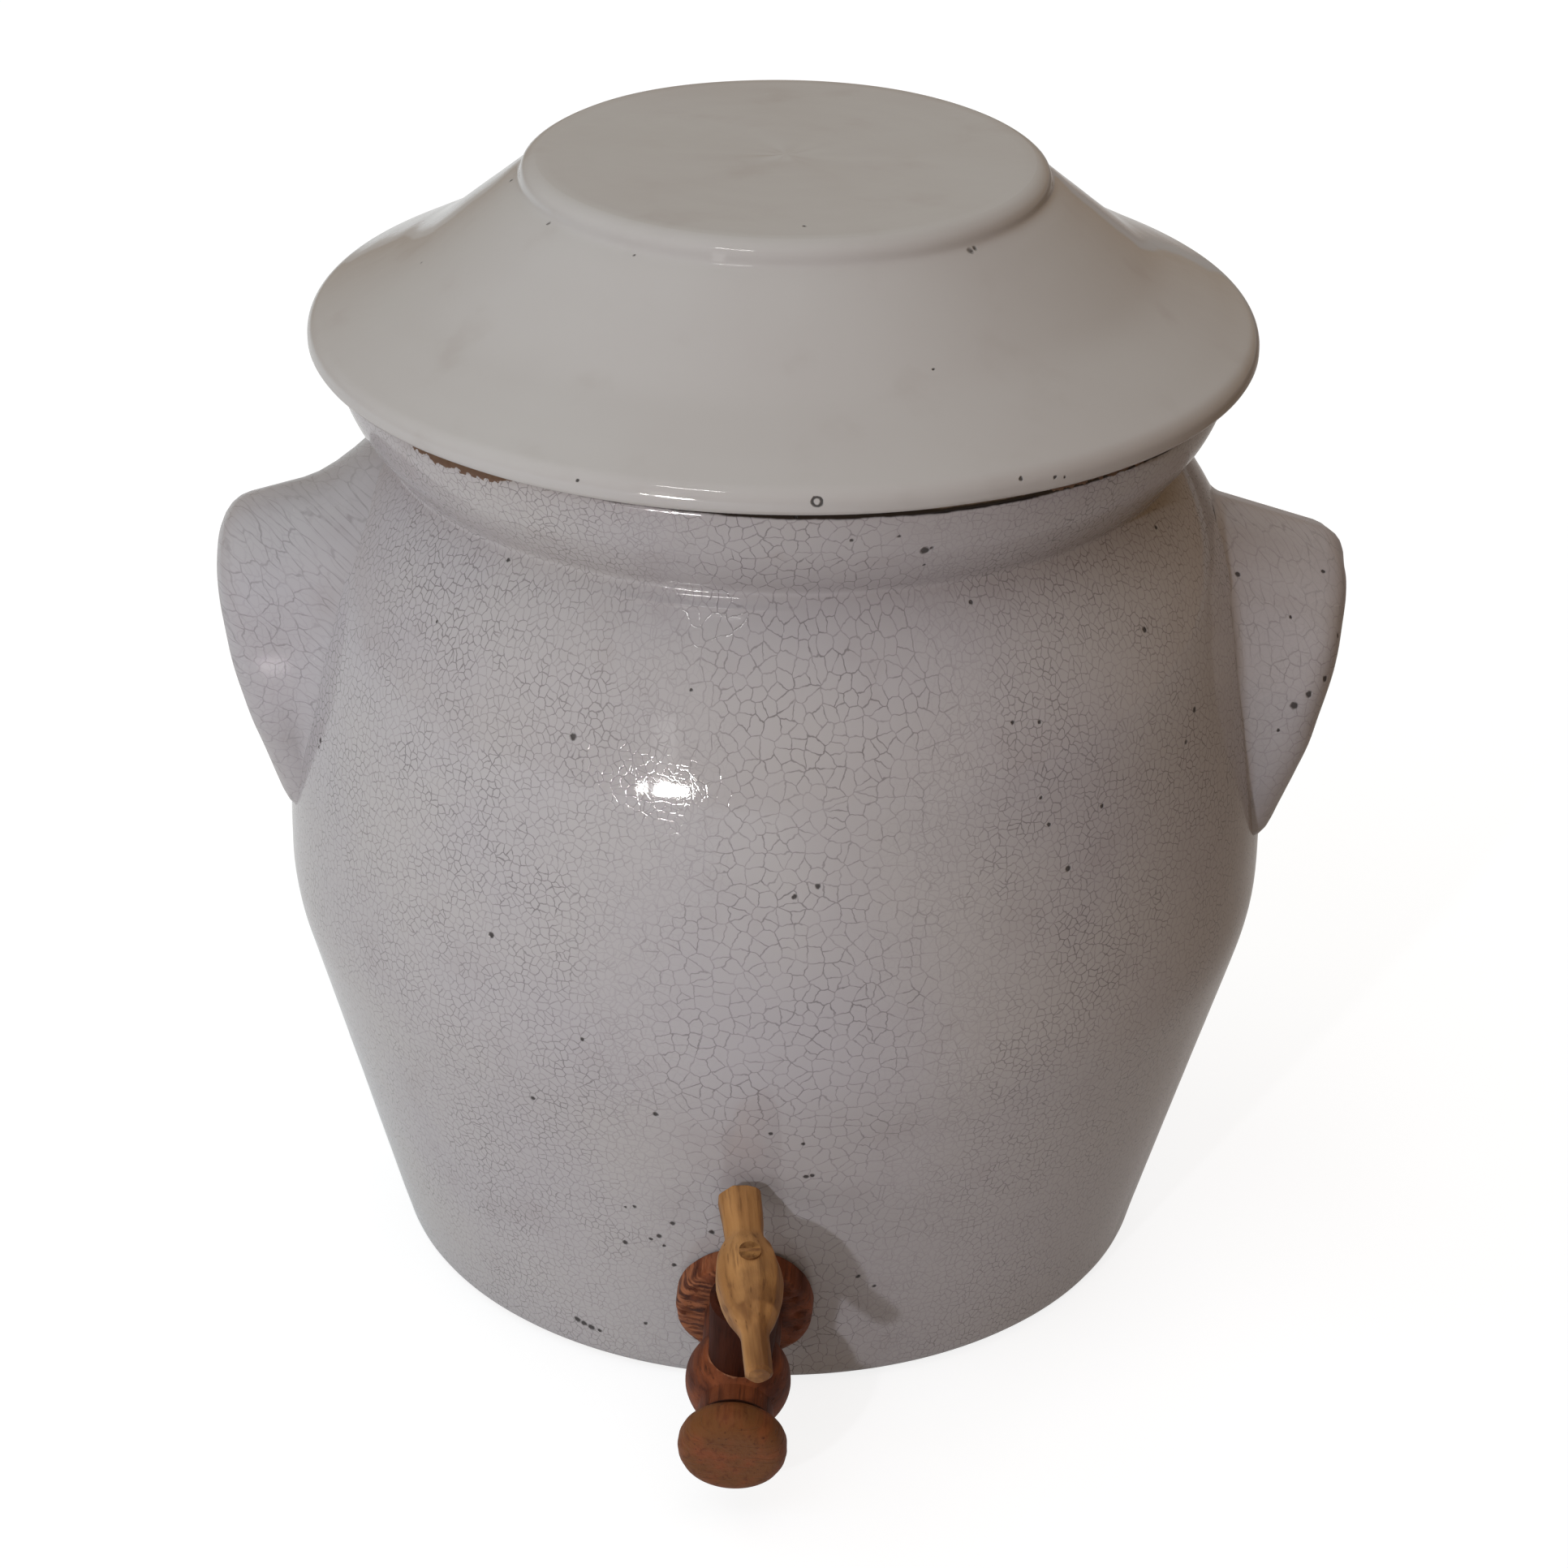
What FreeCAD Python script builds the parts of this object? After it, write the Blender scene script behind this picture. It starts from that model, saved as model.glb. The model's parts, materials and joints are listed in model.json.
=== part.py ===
"""Lidded vinegar crock with two lug ears and a turned wooden tap, in millimetres.

The crock's axis is +Z, its foot stands on z = 0 and its tap points to -Y.
"""
import FreeCAD, Part
import math
import os
import re

import Sketcher

# Driving sizes: lengths in mm, angles in degrees
SIZES = {
    # crock
    "belly_radius": 125.2,
    "belly_height": 109.0,
    "belly_curve": 64.0,
    "wall_angle": 15.5,
    "wall_thick": 9.0,
    "floor_thick": 12.0,
    "foot_round": 6.2,
    "floor_round": 18.0,
    "shoulder_curve": 375.0,
    "shoulder_angle": 9.4,
    "crown_curve": 94.0,
    "neck_radius": 97.2,
    "collar_thick": 13.0,
    "collar_height": 26.6,
    "collar_curve": 42.0,
    "rim_round": 2.6,
    "mouth_radius": 97.5,
    # lug ears
    "lug_radius": 40.0,
    "lug_taper_angle": 14.0,
    "lug_foot_drop": 34.5,
    "left_lug_rise": 46.6,
    "right_lug_rise": 43.4,
    "left_lug_stand": 6.8,
    "right_lug_stand": 8.2,
    "lug_lean_angle": 16.7,
    "lug_depth": 48.0,
    "lug_edge": 5.5,
    "lug_foot_round": 6.0,
    "lug_turn_angle": 2.9,
    # lid
    "lid_overhang": 6.0,
    "lid_edge": 7.15,
    "lid_roll": 5.0,
    "lid_lip_round": 1.6,
    "brim_angle": 27.2,
    "cone_foot_radius": 91.7,
    "cone_cove": 60.0,
    "cone_angle": 39.1,
    "grip_radius": 64.1,
    "grip_edge": 4.6,
    "lid_thick": 8.0,
    "flange_depth": 12.0,
    "flange_thick": 9.0,
    "lid_play": 1.5,
    # tap
    "tap_height": 33.1,
    "tap_angle": 3.8,
    "bung_radius": 14.0,
    "bung_recess": 1.5,
    "bung_proud": 5.0,
    "tail_length": 36.0,
    "tail_tip_radius": 7.6,
    "spigot_radius": 9.5,
    "bore_radius": 3.5,
    "collar_seat": 0.2,
    "disc_radius": 16.8,
    "disc_thick": 7.5,
    "disc_round": 2.2,
    "bulb_out": 27.5,
    "bulb_radius": 12.75,
    "groove_depth": 0.9,
    "groove_width": 1.4,
    "waist_radius": 9.1,
    "knob_out": 52.8,
    "knob_radius": 13.0,
    "knob_round": 4.6,
    "knob_length": 9.8,
    # key: plug, handle and wedge
    "plug_radius": 7.2,
    "plug_angle": 2.5,
    "plug_fit": 0.08,
    "plug_drop": 20.0,
    "plug_edge": 1.2,
    "spout_radius": 3.4,
    "tenon_radius": 2.6,
    "tenon_proud": 0.2,
    "wedge_thick": 0.9,
    "wedge_depth": 7.0,
    "handle_height": 39.2,
    "handle_angle": 8.4,
    "handle_radius": 8.15,
    "handle_belly": 1.6,
    "near_arm": 30.8,
    "near_arm_radius": 3.35,
    "near_swell": 17.0,
    "far_arm": 23.6,
    "far_arm_radius": 4.7,
    "far_swell": 11.0,
    "arm_round": 0.8,
}

# Sizes that follow from the driving ones
WORKED_OUT = {
    "wall_top_radius": "belly_radius - belly_curve * (1 - cos(wall_angle))",
    "wall_top_height": "belly_height - belly_curve * sin(wall_angle)",
    "foot_radius": "wall_top_radius - wall_top_height * tan(wall_angle)",
    "corner_share": "tan(45 - wall_angle / 2)",
    "foot_trim": "foot_round * corner_share",
    "floor_trim": "floor_round * corner_share",
    "inner_foot": "foot_radius + floor_thick * tan(wall_angle) - wall_thick / cos(wall_angle)",
    "shoulder_radius": "belly_radius - shoulder_curve * (1 - cos(shoulder_angle))",
    "shoulder_height": "belly_height + shoulder_curve * sin(shoulder_angle)",
    "crown_middle": "shoulder_radius - crown_curve * cos(shoulder_angle)",
    "crown_level": "shoulder_height - crown_curve * sin(shoulder_angle)",
    "neck_height": "crown_level + sqrt(crown_curve ^ 2 - (neck_radius - crown_middle) ^ 2)",
    "rim_height": "neck_height + collar_height",
    "collar_radius": "mouth_radius + collar_thick",
    "throat_radius": "neck_radius - wall_thick",
    "inner_crown": "crown_curve - wall_thick",
    "throat_height": "crown_level + sqrt(inner_crown ^ 2 - (throat_radius - crown_middle) ^ 2)",
    "throat_slope": "(mouth_radius - throat_radius) / (rim_height - rim_round - throat_height)",
    "flange_top_radius": "mouth_radius - lid_play",
    "flange_foot_radius": "flange_top_radius - flange_depth * throat_slope",
    "hollow_radius": "flange_foot_radius - flange_thick",
    "lid_radius": "collar_radius + lid_overhang",
    "cove_trim": "cone_cove * tan((cone_angle - brim_angle) / 2)",
    "roll_end_radius": "lid_radius - lid_roll * (1 - sin(brim_angle))",
    "roll_end_height": "rim_height + lid_edge",
    "cone_foot_height": "roll_end_height + (roll_end_radius - cone_foot_radius) * tan(brim_angle)",
    "roll_level": "roll_end_height - lid_roll * cos(brim_angle)",
    "grip_foot_height": "cone_foot_height + (cone_foot_radius - grip_radius) * tan(cone_angle)",
    "lid_top": "grip_foot_height + grip_edge",
    "hollow_top": "lid_top - lid_thick",
    "hollow_top_radius": "grip_radius - lid_thick / sin(cone_angle)"
                         " - (hollow_top - grip_foot_height) / tan(cone_angle)",
    "hollow_foot_height": "grip_foot_height - lid_thick / cos(cone_angle)"
                          " - (hollow_radius - grip_radius) * tan(cone_angle)",
    "lug_side": "lug_radius * cos(lug_taper_angle)",
    "lug_side_drop": "lug_radius * sin(lug_taper_angle)",
    "lug_foot": "lug_side - (lug_foot_drop - lug_side_drop) * tan(lug_taper_angle)",
    "lug_trim": "lug_foot_round * tan(45 - lug_taper_angle / 2)",
    "lug_corner": "lug_foot + lug_trim * sin(lug_taper_angle)",
    "lug_corner_drop": "lug_foot_drop - lug_trim * cos(lug_taper_angle)",
    "tap_radius": "foot_radius + tap_height * tan(wall_angle)",
    "bung_inner": "wall_thick + bung_proud",
    "tail_taper": "(spigot_radius - tail_tip_radius) / tail_length",
    "bulb_back": "bulb_out - sqrt(bulb_radius ^ 2 - spigot_radius ^ 2)",
    "bulb_front": "bulb_out + sqrt(bulb_radius ^ 2 - waist_radius ^ 2)",
    "bead_start": "bulb_front + groove_width",
    "knob_back": "knob_out - knob_length",
    "knob_shoulder": "knob_radius - waist_radius",
    "plug_slope": "tan(plug_angle)",
    "plug_foot_radius": "plug_radius - plug_drop * plug_slope",
    "plug_top": "handle_height - handle_radius",
    "plug_top_radius": "plug_radius + plug_top * plug_slope",
    "tenon_top": "handle_height + handle_radius + tenon_proud",
    "near_dip": "handle_radius - near_arm_radius",
    "near_curve": "(near_swell ^ 2 + near_dip ^ 2) / (2 * near_dip)",
    "far_dip": "handle_radius - far_arm_radius",
    "far_curve": "(far_swell ^ 2 + far_dip ^ 2) / (2 * far_dip)",
}

ON_AXIS = "0"
WHOLE_TURN = 360.0
TOUCH = 1e-4


def make_sheet(document):
    """Write the driving sizes into a sheet, one named cell each."""
    table = document.addObject("Spreadsheet::Sheet", "Sizes")
    for row, (name, size) in enumerate(SIZES.items(), start=1):
        table.set("A%d" % row, name)
        table.set("B%d" % row, str(size))
        table.setAlias("B%d" % row, name)
    document.recompute()
    return table


def tied(formula):
    """Spell a formula out in sheet cells, so that an object can be bound to it."""
    def spell(word):
        name = word.group()
        if name in WORKED_OUT:
            return "(" + tied(WORKED_OUT[name]) + ")"
        if name in SIZES:
            return "Sizes." + name
        return name

    return re.sub(r"[a-z_]+", spell, formula)


def measure(formula):
    """Work a formula out from the sheet."""
    return float(sheet.evalExpression(tied(formula)))


def bind(item, links):
    """Bind properties of an object to formulas of sizes."""
    for name, formula in links.items():
        item.setExpression(name, tied(formula))


def place(item, formula):
    """Bind an object's placement to a formula of sizes."""
    item.setExpression("Placement", tied(formula))


def spot(along, across, up, yaw="0", pitch="0", roll="0"):
    """Write a placement formula from three lengths and three angles."""
    vector = "create(<<vector>>; %s; %s; %s)" % (along, across, up)
    turn = "create(<<rotation>>; %s; %s; %s)" % (yaw, pitch, roll)
    return "create(<<placement>>; %s; %s)" % (vector, turn)


def origin_plane(body, role):
    """Find one of a body's own origin planes."""
    return next(item for item in body.Origin.OriginFeatures if item.Role == role)


class Outline:
    """A closed sketch of lines and arcs whose corners are bound to the sheet."""

    def __init__(self, body, name, role, start):
        self.sketch = body.newObject("Sketcher::SketchObject", name)
        self.sketch.AttachmentSupport = [(origin_plane(body, role), "")]
        self.sketch.MapMode = "FlatFace"
        self.corners = [start]
        self.ends = []

    def point(self, corner):
        """Give a corner's place in the sketch."""
        return FreeCAD.Vector(measure(corner[0]), measure(corner[1]), 0)

    def line(self, across, up):
        """Draw a straight edge to the next corner."""
        start = self.point(self.corners[-1])
        self.corners.append((across, up))
        edge = self.sketch.addGeometry(Part.LineSegment(start, self.point(self.corners[-1])))
        self.ends.append((edge, 1, 2))
        return self

    def arc(self, across, up, radius, left=True):
        """Draw an arc of under a half circle to the next corner, turning left or right."""
        start = self.point(self.corners[-1])
        self.corners.append((across, up))
        end = self.point(self.corners[-1])
        chord = end - start
        reach = measure(radius)
        offset = math.sqrt(max(reach ** 2 - (chord.Length / 2) ** 2, 0))
        side = FreeCAD.Vector(-chord.y, chord.x, 0).normalize()
        centre = (start + end) / 2 + side * (offset if left else -offset)
        first, last = (start, end) if left else (end, start)
        angles = [math.atan2(tip.y - centre.y, tip.x - centre.x) for tip in (first, last)]
        circle = Part.Circle(centre, FreeCAD.Vector(0, 0, 1), reach)
        edge = self.sketch.addGeometry(Part.ArcOfCircle(circle, *angles))
        self.ends.append((edge, 1, 2) if left else (edge, 2, 1))
        self.bound("Radius", (edge, reach), "curve_%d" % edge, radius)
        return self

    def bound(self, kind, arguments, name, formula):
        """Add a named dimension and bind it to a formula."""
        index = self.sketch.addConstraint(Sketcher.Constraint(kind, *arguments))
        self.sketch.renameConstraint(index, name)
        self.sketch.setExpression("Constraints." + name, tied(formula))

    def close(self):
        """Close the outline with a straight edge, and fix every corner."""
        if self.corners[-1] != self.corners[0]:
            self.line(*self.corners[0])
        for index, (edge, first, last) in enumerate(self.ends):
            follower, follower_first, _ = self.ends[(index + 1) % len(self.ends)]
            joined = Sketcher.Constraint("Coincident", edge, last, follower, follower_first)
            self.sketch.addConstraint(joined)
            across, up = self.corners[index]
            for kind, axis, formula in (("DistanceX", -2, across), ("DistanceY", -1, up)):
                if formula == ON_AXIS:
                    self.sketch.addConstraint(Sketcher.Constraint("PointOnObject", edge, first, axis))
                    continue
                numbers = (-1, 1, edge, first, measure(formula))
                self.bound(kind, numbers, "%s_%d" % (kind, index), formula)
        return self.sketch


def make_body(label):
    """Start a named solid piece."""
    body = doc.addObject("PartDesign::Body", label)
    body.Label = label
    return body


def turn(body, name, sketch, axis):
    """Turn an outline about one of its sketch axes, as on a wheel or a lathe."""
    lathe = body.newObject("PartDesign::Revolution", name)
    lathe.Profile = sketch
    lathe.ReferenceAxis = (sketch, [axis])
    lathe.Angle = WHOLE_TURN
    sketch.Visibility = False
    doc.recompute()
    return lathe


def take_away(body, kind, name, sizes, where):
    """Cut a primitive out of a body, and make sure that it took something away."""
    before = body.Shape.Volume
    cutter = body.newObject("PartDesign::Subtractive" + kind, name)
    bind(cutter, sizes)
    place(cutter, where)
    doc.recompute()
    if not body.Shape.Volume < before - TOUCH:
        raise RuntimeError(name + " cuts nothing")
    return cutter


def crock_outside(body, name):
    """Draw the crock's outer half section from its foot to its rim."""
    outline = Outline(body, name, "XZ_Plane", (ON_AXIS, ON_AXIS))
    outline.line("foot_radius - foot_trim", ON_AXIS)
    outline.arc("foot_radius + foot_trim * sin(wall_angle)", "foot_trim * cos(wall_angle)", "foot_round")
    outline.line("wall_top_radius", "wall_top_height")
    outline.arc("belly_radius", "belly_height", "belly_curve")
    outline.arc("shoulder_radius", "shoulder_height", "shoulder_curve")
    outline.arc("neck_radius", "neck_height", "crown_curve")
    outline.arc("collar_radius", "rim_height - rim_round", "collar_curve")
    outline.arc("collar_radius - rim_round", "rim_height", "rim_round")
    return outline


def make_crock():
    """Throw the crock: one section from foot to rim and back down inside, and the tap's hole."""
    body = make_body("crock_body")
    outline = crock_outside(body, "crock_section")
    outline.line("mouth_radius + rim_round", "rim_height")
    outline.arc("mouth_radius", "rim_height - rim_round", "rim_round")
    outline.line("throat_radius", "throat_height")
    outline.arc("shoulder_radius - wall_thick * cos(shoulder_angle)",
                "shoulder_height - wall_thick * sin(shoulder_angle)", "inner_crown", left=False)
    outline.arc("belly_radius - wall_thick", "belly_height", "shoulder_curve - wall_thick", left=False)
    outline.arc("wall_top_radius - wall_thick * cos(wall_angle)",
                "wall_top_height + wall_thick * sin(wall_angle)", "belly_curve - wall_thick", left=False)
    outline.line("inner_foot + floor_trim * sin(wall_angle)", "floor_thick + floor_trim * cos(wall_angle)")
    outline.arc("inner_foot - floor_trim", "floor_thick", "floor_round", left=False)
    outline.line(ON_AXIS, "floor_thick")
    turn(body, "thrown_wall", outline.close(), "V_Axis")
    reach = "(wall_thick + floor_round)"
    take_away(body, "Cylinder", "tap_hole",
              {"Radius": "bung_radius", "Height": reach + " + disc_thick"},
              TAP + " * " + spot("-" + reach, "0", "0", pitch="90"))
    return body


def make_envelope():
    """Make the crock's outside as one lump, which the lugs are fitted to."""
    body = make_body("crock_envelope")
    outline = crock_outside(body, "envelope_section")
    outline.line(ON_AXIS, "rim_height")
    turn(body, "envelope", outline.close(), "V_Axis")
    return body


def make_lug(label, side):
    """Press a lug ear, an arched slab that droops, and fit its back to the crock's wall."""
    blank = make_body(label + "_blank")
    outline = Outline(blank, label + "_outline", "YZ_Plane", ("lug_trim - lug_foot", "-lug_foot_drop"))
    outline.line("lug_foot - lug_trim", "-lug_foot_drop")
    outline.arc("lug_corner", "-lug_corner_drop", "lug_foot_round")
    outline.line("lug_side", "-lug_side_drop")
    outline.arc(ON_AXIS, "lug_radius", "lug_radius")
    outline.arc("-lug_side", "-lug_side_drop", "lug_radius")
    outline.line("-lug_corner", "-lug_corner_drop")
    outline.arc("lug_trim - lug_foot", "-lug_foot_drop", "lug_foot_round")
    sketch = outline.close()
    rise = "belly_height + %s_rise" % label
    reach = "belly_radius + %s_stand" % label
    bind(sketch, {"AttachmentOffset": spot("0", rise, reach, roll="lug_lean_angle")})
    slab = blank.newObject("PartDesign::Pad", label + "_slab")
    slab.Profile = sketch
    slab.Reversed = True
    bind(slab, {"Length": "lug_depth"})
    sketch.Visibility = False
    doc.recompute()
    front = max(slab.Shape.Faces, key=lambda face: face.CenterOfMass.x)
    names = ["Edge%d" % (index + 1) for index, edge in enumerate(slab.Shape.Edges)
             if front.distToShape(edge)[0] < TOUCH and is_on(front, edge)]
    rounding = blank.newObject("PartDesign::Fillet", label + "_edge")
    rounding.Base = (slab, names)
    bind(rounding, {"Radius": "lug_edge"})
    place(blank, spot("0", "0", "0", yaw="lug_turn_angle + %d" % side))
    lug = doc.addObject("Part::Cut", label)
    lug.Base = blank
    lug.Tool = envelope
    lug.Label = label
    return lug


def is_on(face, edge):
    """Tell whether both ends and the middle of an edge lie on a face."""
    middle = edge.valueAt((edge.FirstParameter + edge.LastParameter) / 2)
    tips = [vertex.Point for vertex in edge.Vertexes] + [middle]
    return all(face.distToShape(Part.Vertex(tip))[0] < TOUCH for tip in tips)


def make_lid():
    """Throw the lid: rolled rim, brim, cone and grip disc, hollow below, with a locating flange."""
    body = make_body("lid")
    outline = Outline(body, "lid_section", "XZ_Plane", (ON_AXIS, "hollow_top"))
    outline.line("hollow_top_radius", "hollow_top")
    outline.line("hollow_radius", "hollow_foot_height")
    outline.line("hollow_radius", "rim_height - flange_depth")
    outline.line("flange_foot_radius", "rim_height - flange_depth")
    outline.line("flange_top_radius", "rim_height")
    outline.line("lid_radius - lid_lip_round", "rim_height")
    outline.arc("lid_radius", "rim_height + lid_lip_round", "lid_lip_round")
    outline.line("lid_radius", "roll_level")
    outline.arc("roll_end_radius", "roll_end_height", "lid_roll")
    outline.line("cone_foot_radius + cove_trim * cos(brim_angle)",
                 "cone_foot_height - cove_trim * sin(brim_angle)")
    outline.arc("cone_foot_radius - cove_trim * cos(cone_angle)",
                "cone_foot_height + cove_trim * sin(cone_angle)", "cone_cove", left=False)
    outline.line("grip_radius", "grip_foot_height")
    outline.arc("grip_radius - grip_edge", "lid_top", "grip_edge")
    outline.line(ON_AXIS, "lid_top")
    turn(body, "thrown_lid", outline.close(), "V_Axis")
    return body


def make_bung():
    """Cut the cork sleeve that seals the tap's tail in the wall."""
    body = make_body("cork_bung")
    outline = Outline(body, "bung_section", "XZ_Plane", ("-bung_inner", "bung_radius"))
    outline.line("-bung_inner", "spigot_radius - bung_inner * tail_taper")
    outline.line("-bung_recess", "spigot_radius - bung_recess * tail_taper")
    outline.line("-bung_recess", "bung_radius")
    turn(body, "bung", outline.close(), "H_Axis")
    place(body, TAP)
    return body


def make_barrel():
    """Turn the tap's barrel: tail, collar, neck, bulb, groove and hammer knob, then bore it."""
    body = make_body("tap_barrel")
    outline = Outline(body, "barrel_section", "XZ_Plane", ("-tail_length", ON_AXIS))
    outline.line("knob_out", ON_AXIS)
    outline.line("knob_out", "knob_radius - knob_round")
    outline.arc("knob_out - knob_round", "knob_radius", "knob_round")
    outline.line("knob_back + knob_shoulder", "knob_radius")
    outline.arc("knob_back", "waist_radius", "knob_shoulder")
    outline.line("bead_start", "waist_radius")
    outline.line("bulb_front + groove_width / 2", "waist_radius - groove_depth")
    outline.line("bulb_front", "waist_radius")
    outline.arc("bulb_out", "bulb_radius", "bulb_radius")
    outline.arc("bulb_back", "spigot_radius", "bulb_radius")
    outline.line("disc_thick", "spigot_radius")
    outline.line("disc_thick", "disc_radius - disc_round")
    outline.arc("disc_thick - disc_round", "disc_radius", "disc_round")
    outline.line("collar_seat", "disc_radius")
    outline.line("collar_seat", "spigot_radius")
    outline.line(ON_AXIS, "spigot_radius")
    outline.line("-tail_length", "tail_tip_radius")
    turn(body, "turned_barrel", outline.close(), "H_Axis")
    take_away(body, "Cylinder", "bore",
              {"Radius": "bore_radius", "Height": "tail_length + bulb_out"},
              spot("-tail_length", "0", "0", pitch="90"))
    reach = "(bulb_radius + 1)"
    take_away(body, "Cone", "plug_seat",
              {"Radius1": "plug_radius + plug_fit - %s * plug_slope" % reach,
               "Radius2": "plug_radius + plug_fit + %s * plug_slope" % reach,
               "Height": "2 * " + reach},
              spot("bulb_out", "0", "-" + reach))
    place(body, TAP)
    return body


def make_plug():
    """Turn the tapered plug: hollow foot for a spout, an inlet in its side, a slotted tenon on top."""
    body = make_body("tap_plug")
    outline = Outline(body, "plug_section", "XZ_Plane", (ON_AXIS, "-plug_drop"))
    outline.line("plug_foot_radius", "-plug_drop")
    outline.line("plug_top_radius - plug_edge * plug_slope", "plug_top - plug_edge")
    outline.line("plug_top_radius - plug_edge", "plug_top")
    outline.line("tenon_radius", "plug_top")
    outline.line("tenon_radius", "tenon_top")
    outline.line(ON_AXIS, "tenon_top")
    turn(body, "turned_plug", outline.close(), "V_Axis")
    take_away(body, "Cylinder", "spout",
              {"Radius": "spout_radius", "Height": "plug_drop + bore_radius"},
              spot("0", "0", "-plug_drop"))
    take_away(body, "Cylinder", "inlet",
              {"Radius": "spout_radius", "Height": "plug_radius + spout_radius"},
              spot("0", "0", "0", pitch="-90"))
    take_away(body, "Box", "tenon_slot",
              {"Length": "wedge_thick", "Width": "4 * tenon_radius", "Height": "wedge_depth"},
              spot("-wedge_thick / 2", "-2 * tenon_radius", "tenon_top - wedge_depth"))
    place(body, KEY)
    return body


def make_handle():
    """Turn the cross handle, a swelled spindle with a hole for the tenon."""
    body = make_body("tap_handle")
    outline = Outline(body, "handle_section", "XZ_Plane", ("-far_arm", ON_AXIS))
    outline.line("near_arm", ON_AXIS)
    outline.line("near_arm", "near_arm_radius - arm_round")
    outline.line("near_arm - arm_round", "near_arm_radius")
    outline.line("handle_belly + near_swell", "near_arm_radius")
    outline.arc("handle_belly", "handle_radius", "near_curve")
    outline.arc("handle_belly - far_swell", "far_arm_radius", "far_curve")
    outline.line("arm_round - far_arm", "far_arm_radius")
    outline.line("-far_arm", "far_arm_radius - arm_round")
    turn(body, "turned_handle", outline.close(), "H_Axis")
    take_away(body, "Cylinder", "tenon_hole",
              {"Radius": "tenon_radius", "Height": "4 * handle_radius"},
              spot("0", "0", "-2 * handle_radius"))
    place(body, KEY + " * " + spot("0", "0", "handle_height"))
    return body


def make_wedge():
    """Split the little wedge that spreads the tenon in the handle."""
    wedge = doc.addObject("Part::Box", "tenon_wedge")
    wedge.Label = "tenon_wedge"
    half = "sqrt(tenon_radius ^ 2 - wedge_thick ^ 2 / 4)"
    bind(wedge, {"Length": "wedge_thick", "Width": "2 * " + half, "Height": "wedge_depth"})
    place(wedge, KEY + " * " + spot("-wedge_thick / 2", "-" + half, "tenon_top - wedge_depth"))
    return wedge


def check(pieces):
    """Stop if an object failed to build or a piece isn't one sound solid."""
    for item in doc.Objects:
        if {"Invalid", "Error"} & set(item.State):
            raise RuntimeError("%s did not build: %s" % (item.Label, item.State))
    for piece in pieces:
        shape = piece.Shape
        if shape.isNull() or not shape.isValid() or len(shape.Solids) != 1:
            raise RuntimeError("%s is not one sound solid" % piece.Label)


# Where the tap meets the wall, square to it, and where the key stands on the tap
TAP = spot("0", "-tap_radius", "tap_height", yaw="-90", pitch="wall_angle", roll="-tap_angle")
KEY = TAP + " * " + spot("bulb_out", "0", "0", yaw="handle_angle")

doc = FreeCAD.newDocument("vinegar_crock")
sheet = make_sheet(doc)
envelope = make_envelope()
nodes = [
    make_crock(),
    make_lug("left_lug", 180),
    make_lug("right_lug", 0),
    make_lid(),
    make_bung(),
    make_barrel(),
    make_plug(),
    make_handle(),
    make_wedge(),
]
doc.recompute()
check(nodes)
os.makedirs("parts", exist_ok=True)
for node in nodes:
    node.Shape.exportStep("parts/%s.step" % node.Label)
    print("%-12s %10.1f mm3" % (node.Label, node.Shape.Volume))
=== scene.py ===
"""Looks of a lidded vinegar crock with two lug ears and a turned wooden tap.

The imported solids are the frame. Pieces are shaped in millimetres, in the solids'
own frame, and brought to metres when they are finished.
"""

import json
import logging
import math
from dataclasses import dataclass, field
from enum import Enum
from typing import Any, Mapping, Optional, Sequence, Union

import bmesh
import bpy
from mathutils import Matrix, Vector, noise


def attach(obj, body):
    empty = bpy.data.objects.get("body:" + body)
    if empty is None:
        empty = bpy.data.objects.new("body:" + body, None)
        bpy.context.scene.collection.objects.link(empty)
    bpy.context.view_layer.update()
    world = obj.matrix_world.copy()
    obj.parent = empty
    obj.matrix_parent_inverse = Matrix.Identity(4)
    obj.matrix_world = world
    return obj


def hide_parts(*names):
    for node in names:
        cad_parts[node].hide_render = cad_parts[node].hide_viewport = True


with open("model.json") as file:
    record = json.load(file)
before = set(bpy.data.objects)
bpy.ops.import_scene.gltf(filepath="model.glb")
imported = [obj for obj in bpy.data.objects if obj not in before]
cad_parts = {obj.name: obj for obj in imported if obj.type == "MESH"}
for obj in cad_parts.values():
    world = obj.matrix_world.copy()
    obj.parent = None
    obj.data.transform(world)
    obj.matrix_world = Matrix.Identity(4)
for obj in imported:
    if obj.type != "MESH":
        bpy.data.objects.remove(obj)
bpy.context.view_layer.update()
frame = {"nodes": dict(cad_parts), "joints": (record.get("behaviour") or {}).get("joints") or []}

LOG = logging.getLogger("crock")
MM = 0.001
Colour = tuple[float, float, float, float]
Point = tuple[float, float, float]
Socket = bpy.types.NodeSocket
Value = Union[float, Sequence[float], Socket]


class Axis(Enum):
    """The axes that a section may be turned about."""

    ALONG = (1.0, 0.0, 0.0)
    UP = (0.0, 0.0, 1.0)


class Body(Enum):
    """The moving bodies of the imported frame."""

    CROCK = "crock"
    LID = "lid"
    KEY = "key"


def paint(red: int, green: int, blue: int) -> Colour:
    """Turn a screen colour into a linear one.

    Args:
        red: Red from 0 to 255.
        green: Green from 0 to 255.
        blue: Blue from 0 to 255.

    Returns:
        The linear colour with full alpha.
    """
    def linear(level: int) -> float:
        """Undo the screen's curve for one channel."""
        share = level / 255.0
        return share / 12.92 if share <= 0.04045 else ((share + 0.055) / 1.055) ** 2.4

    return (linear(red), linear(green), linear(blue), 1.0)


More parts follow.
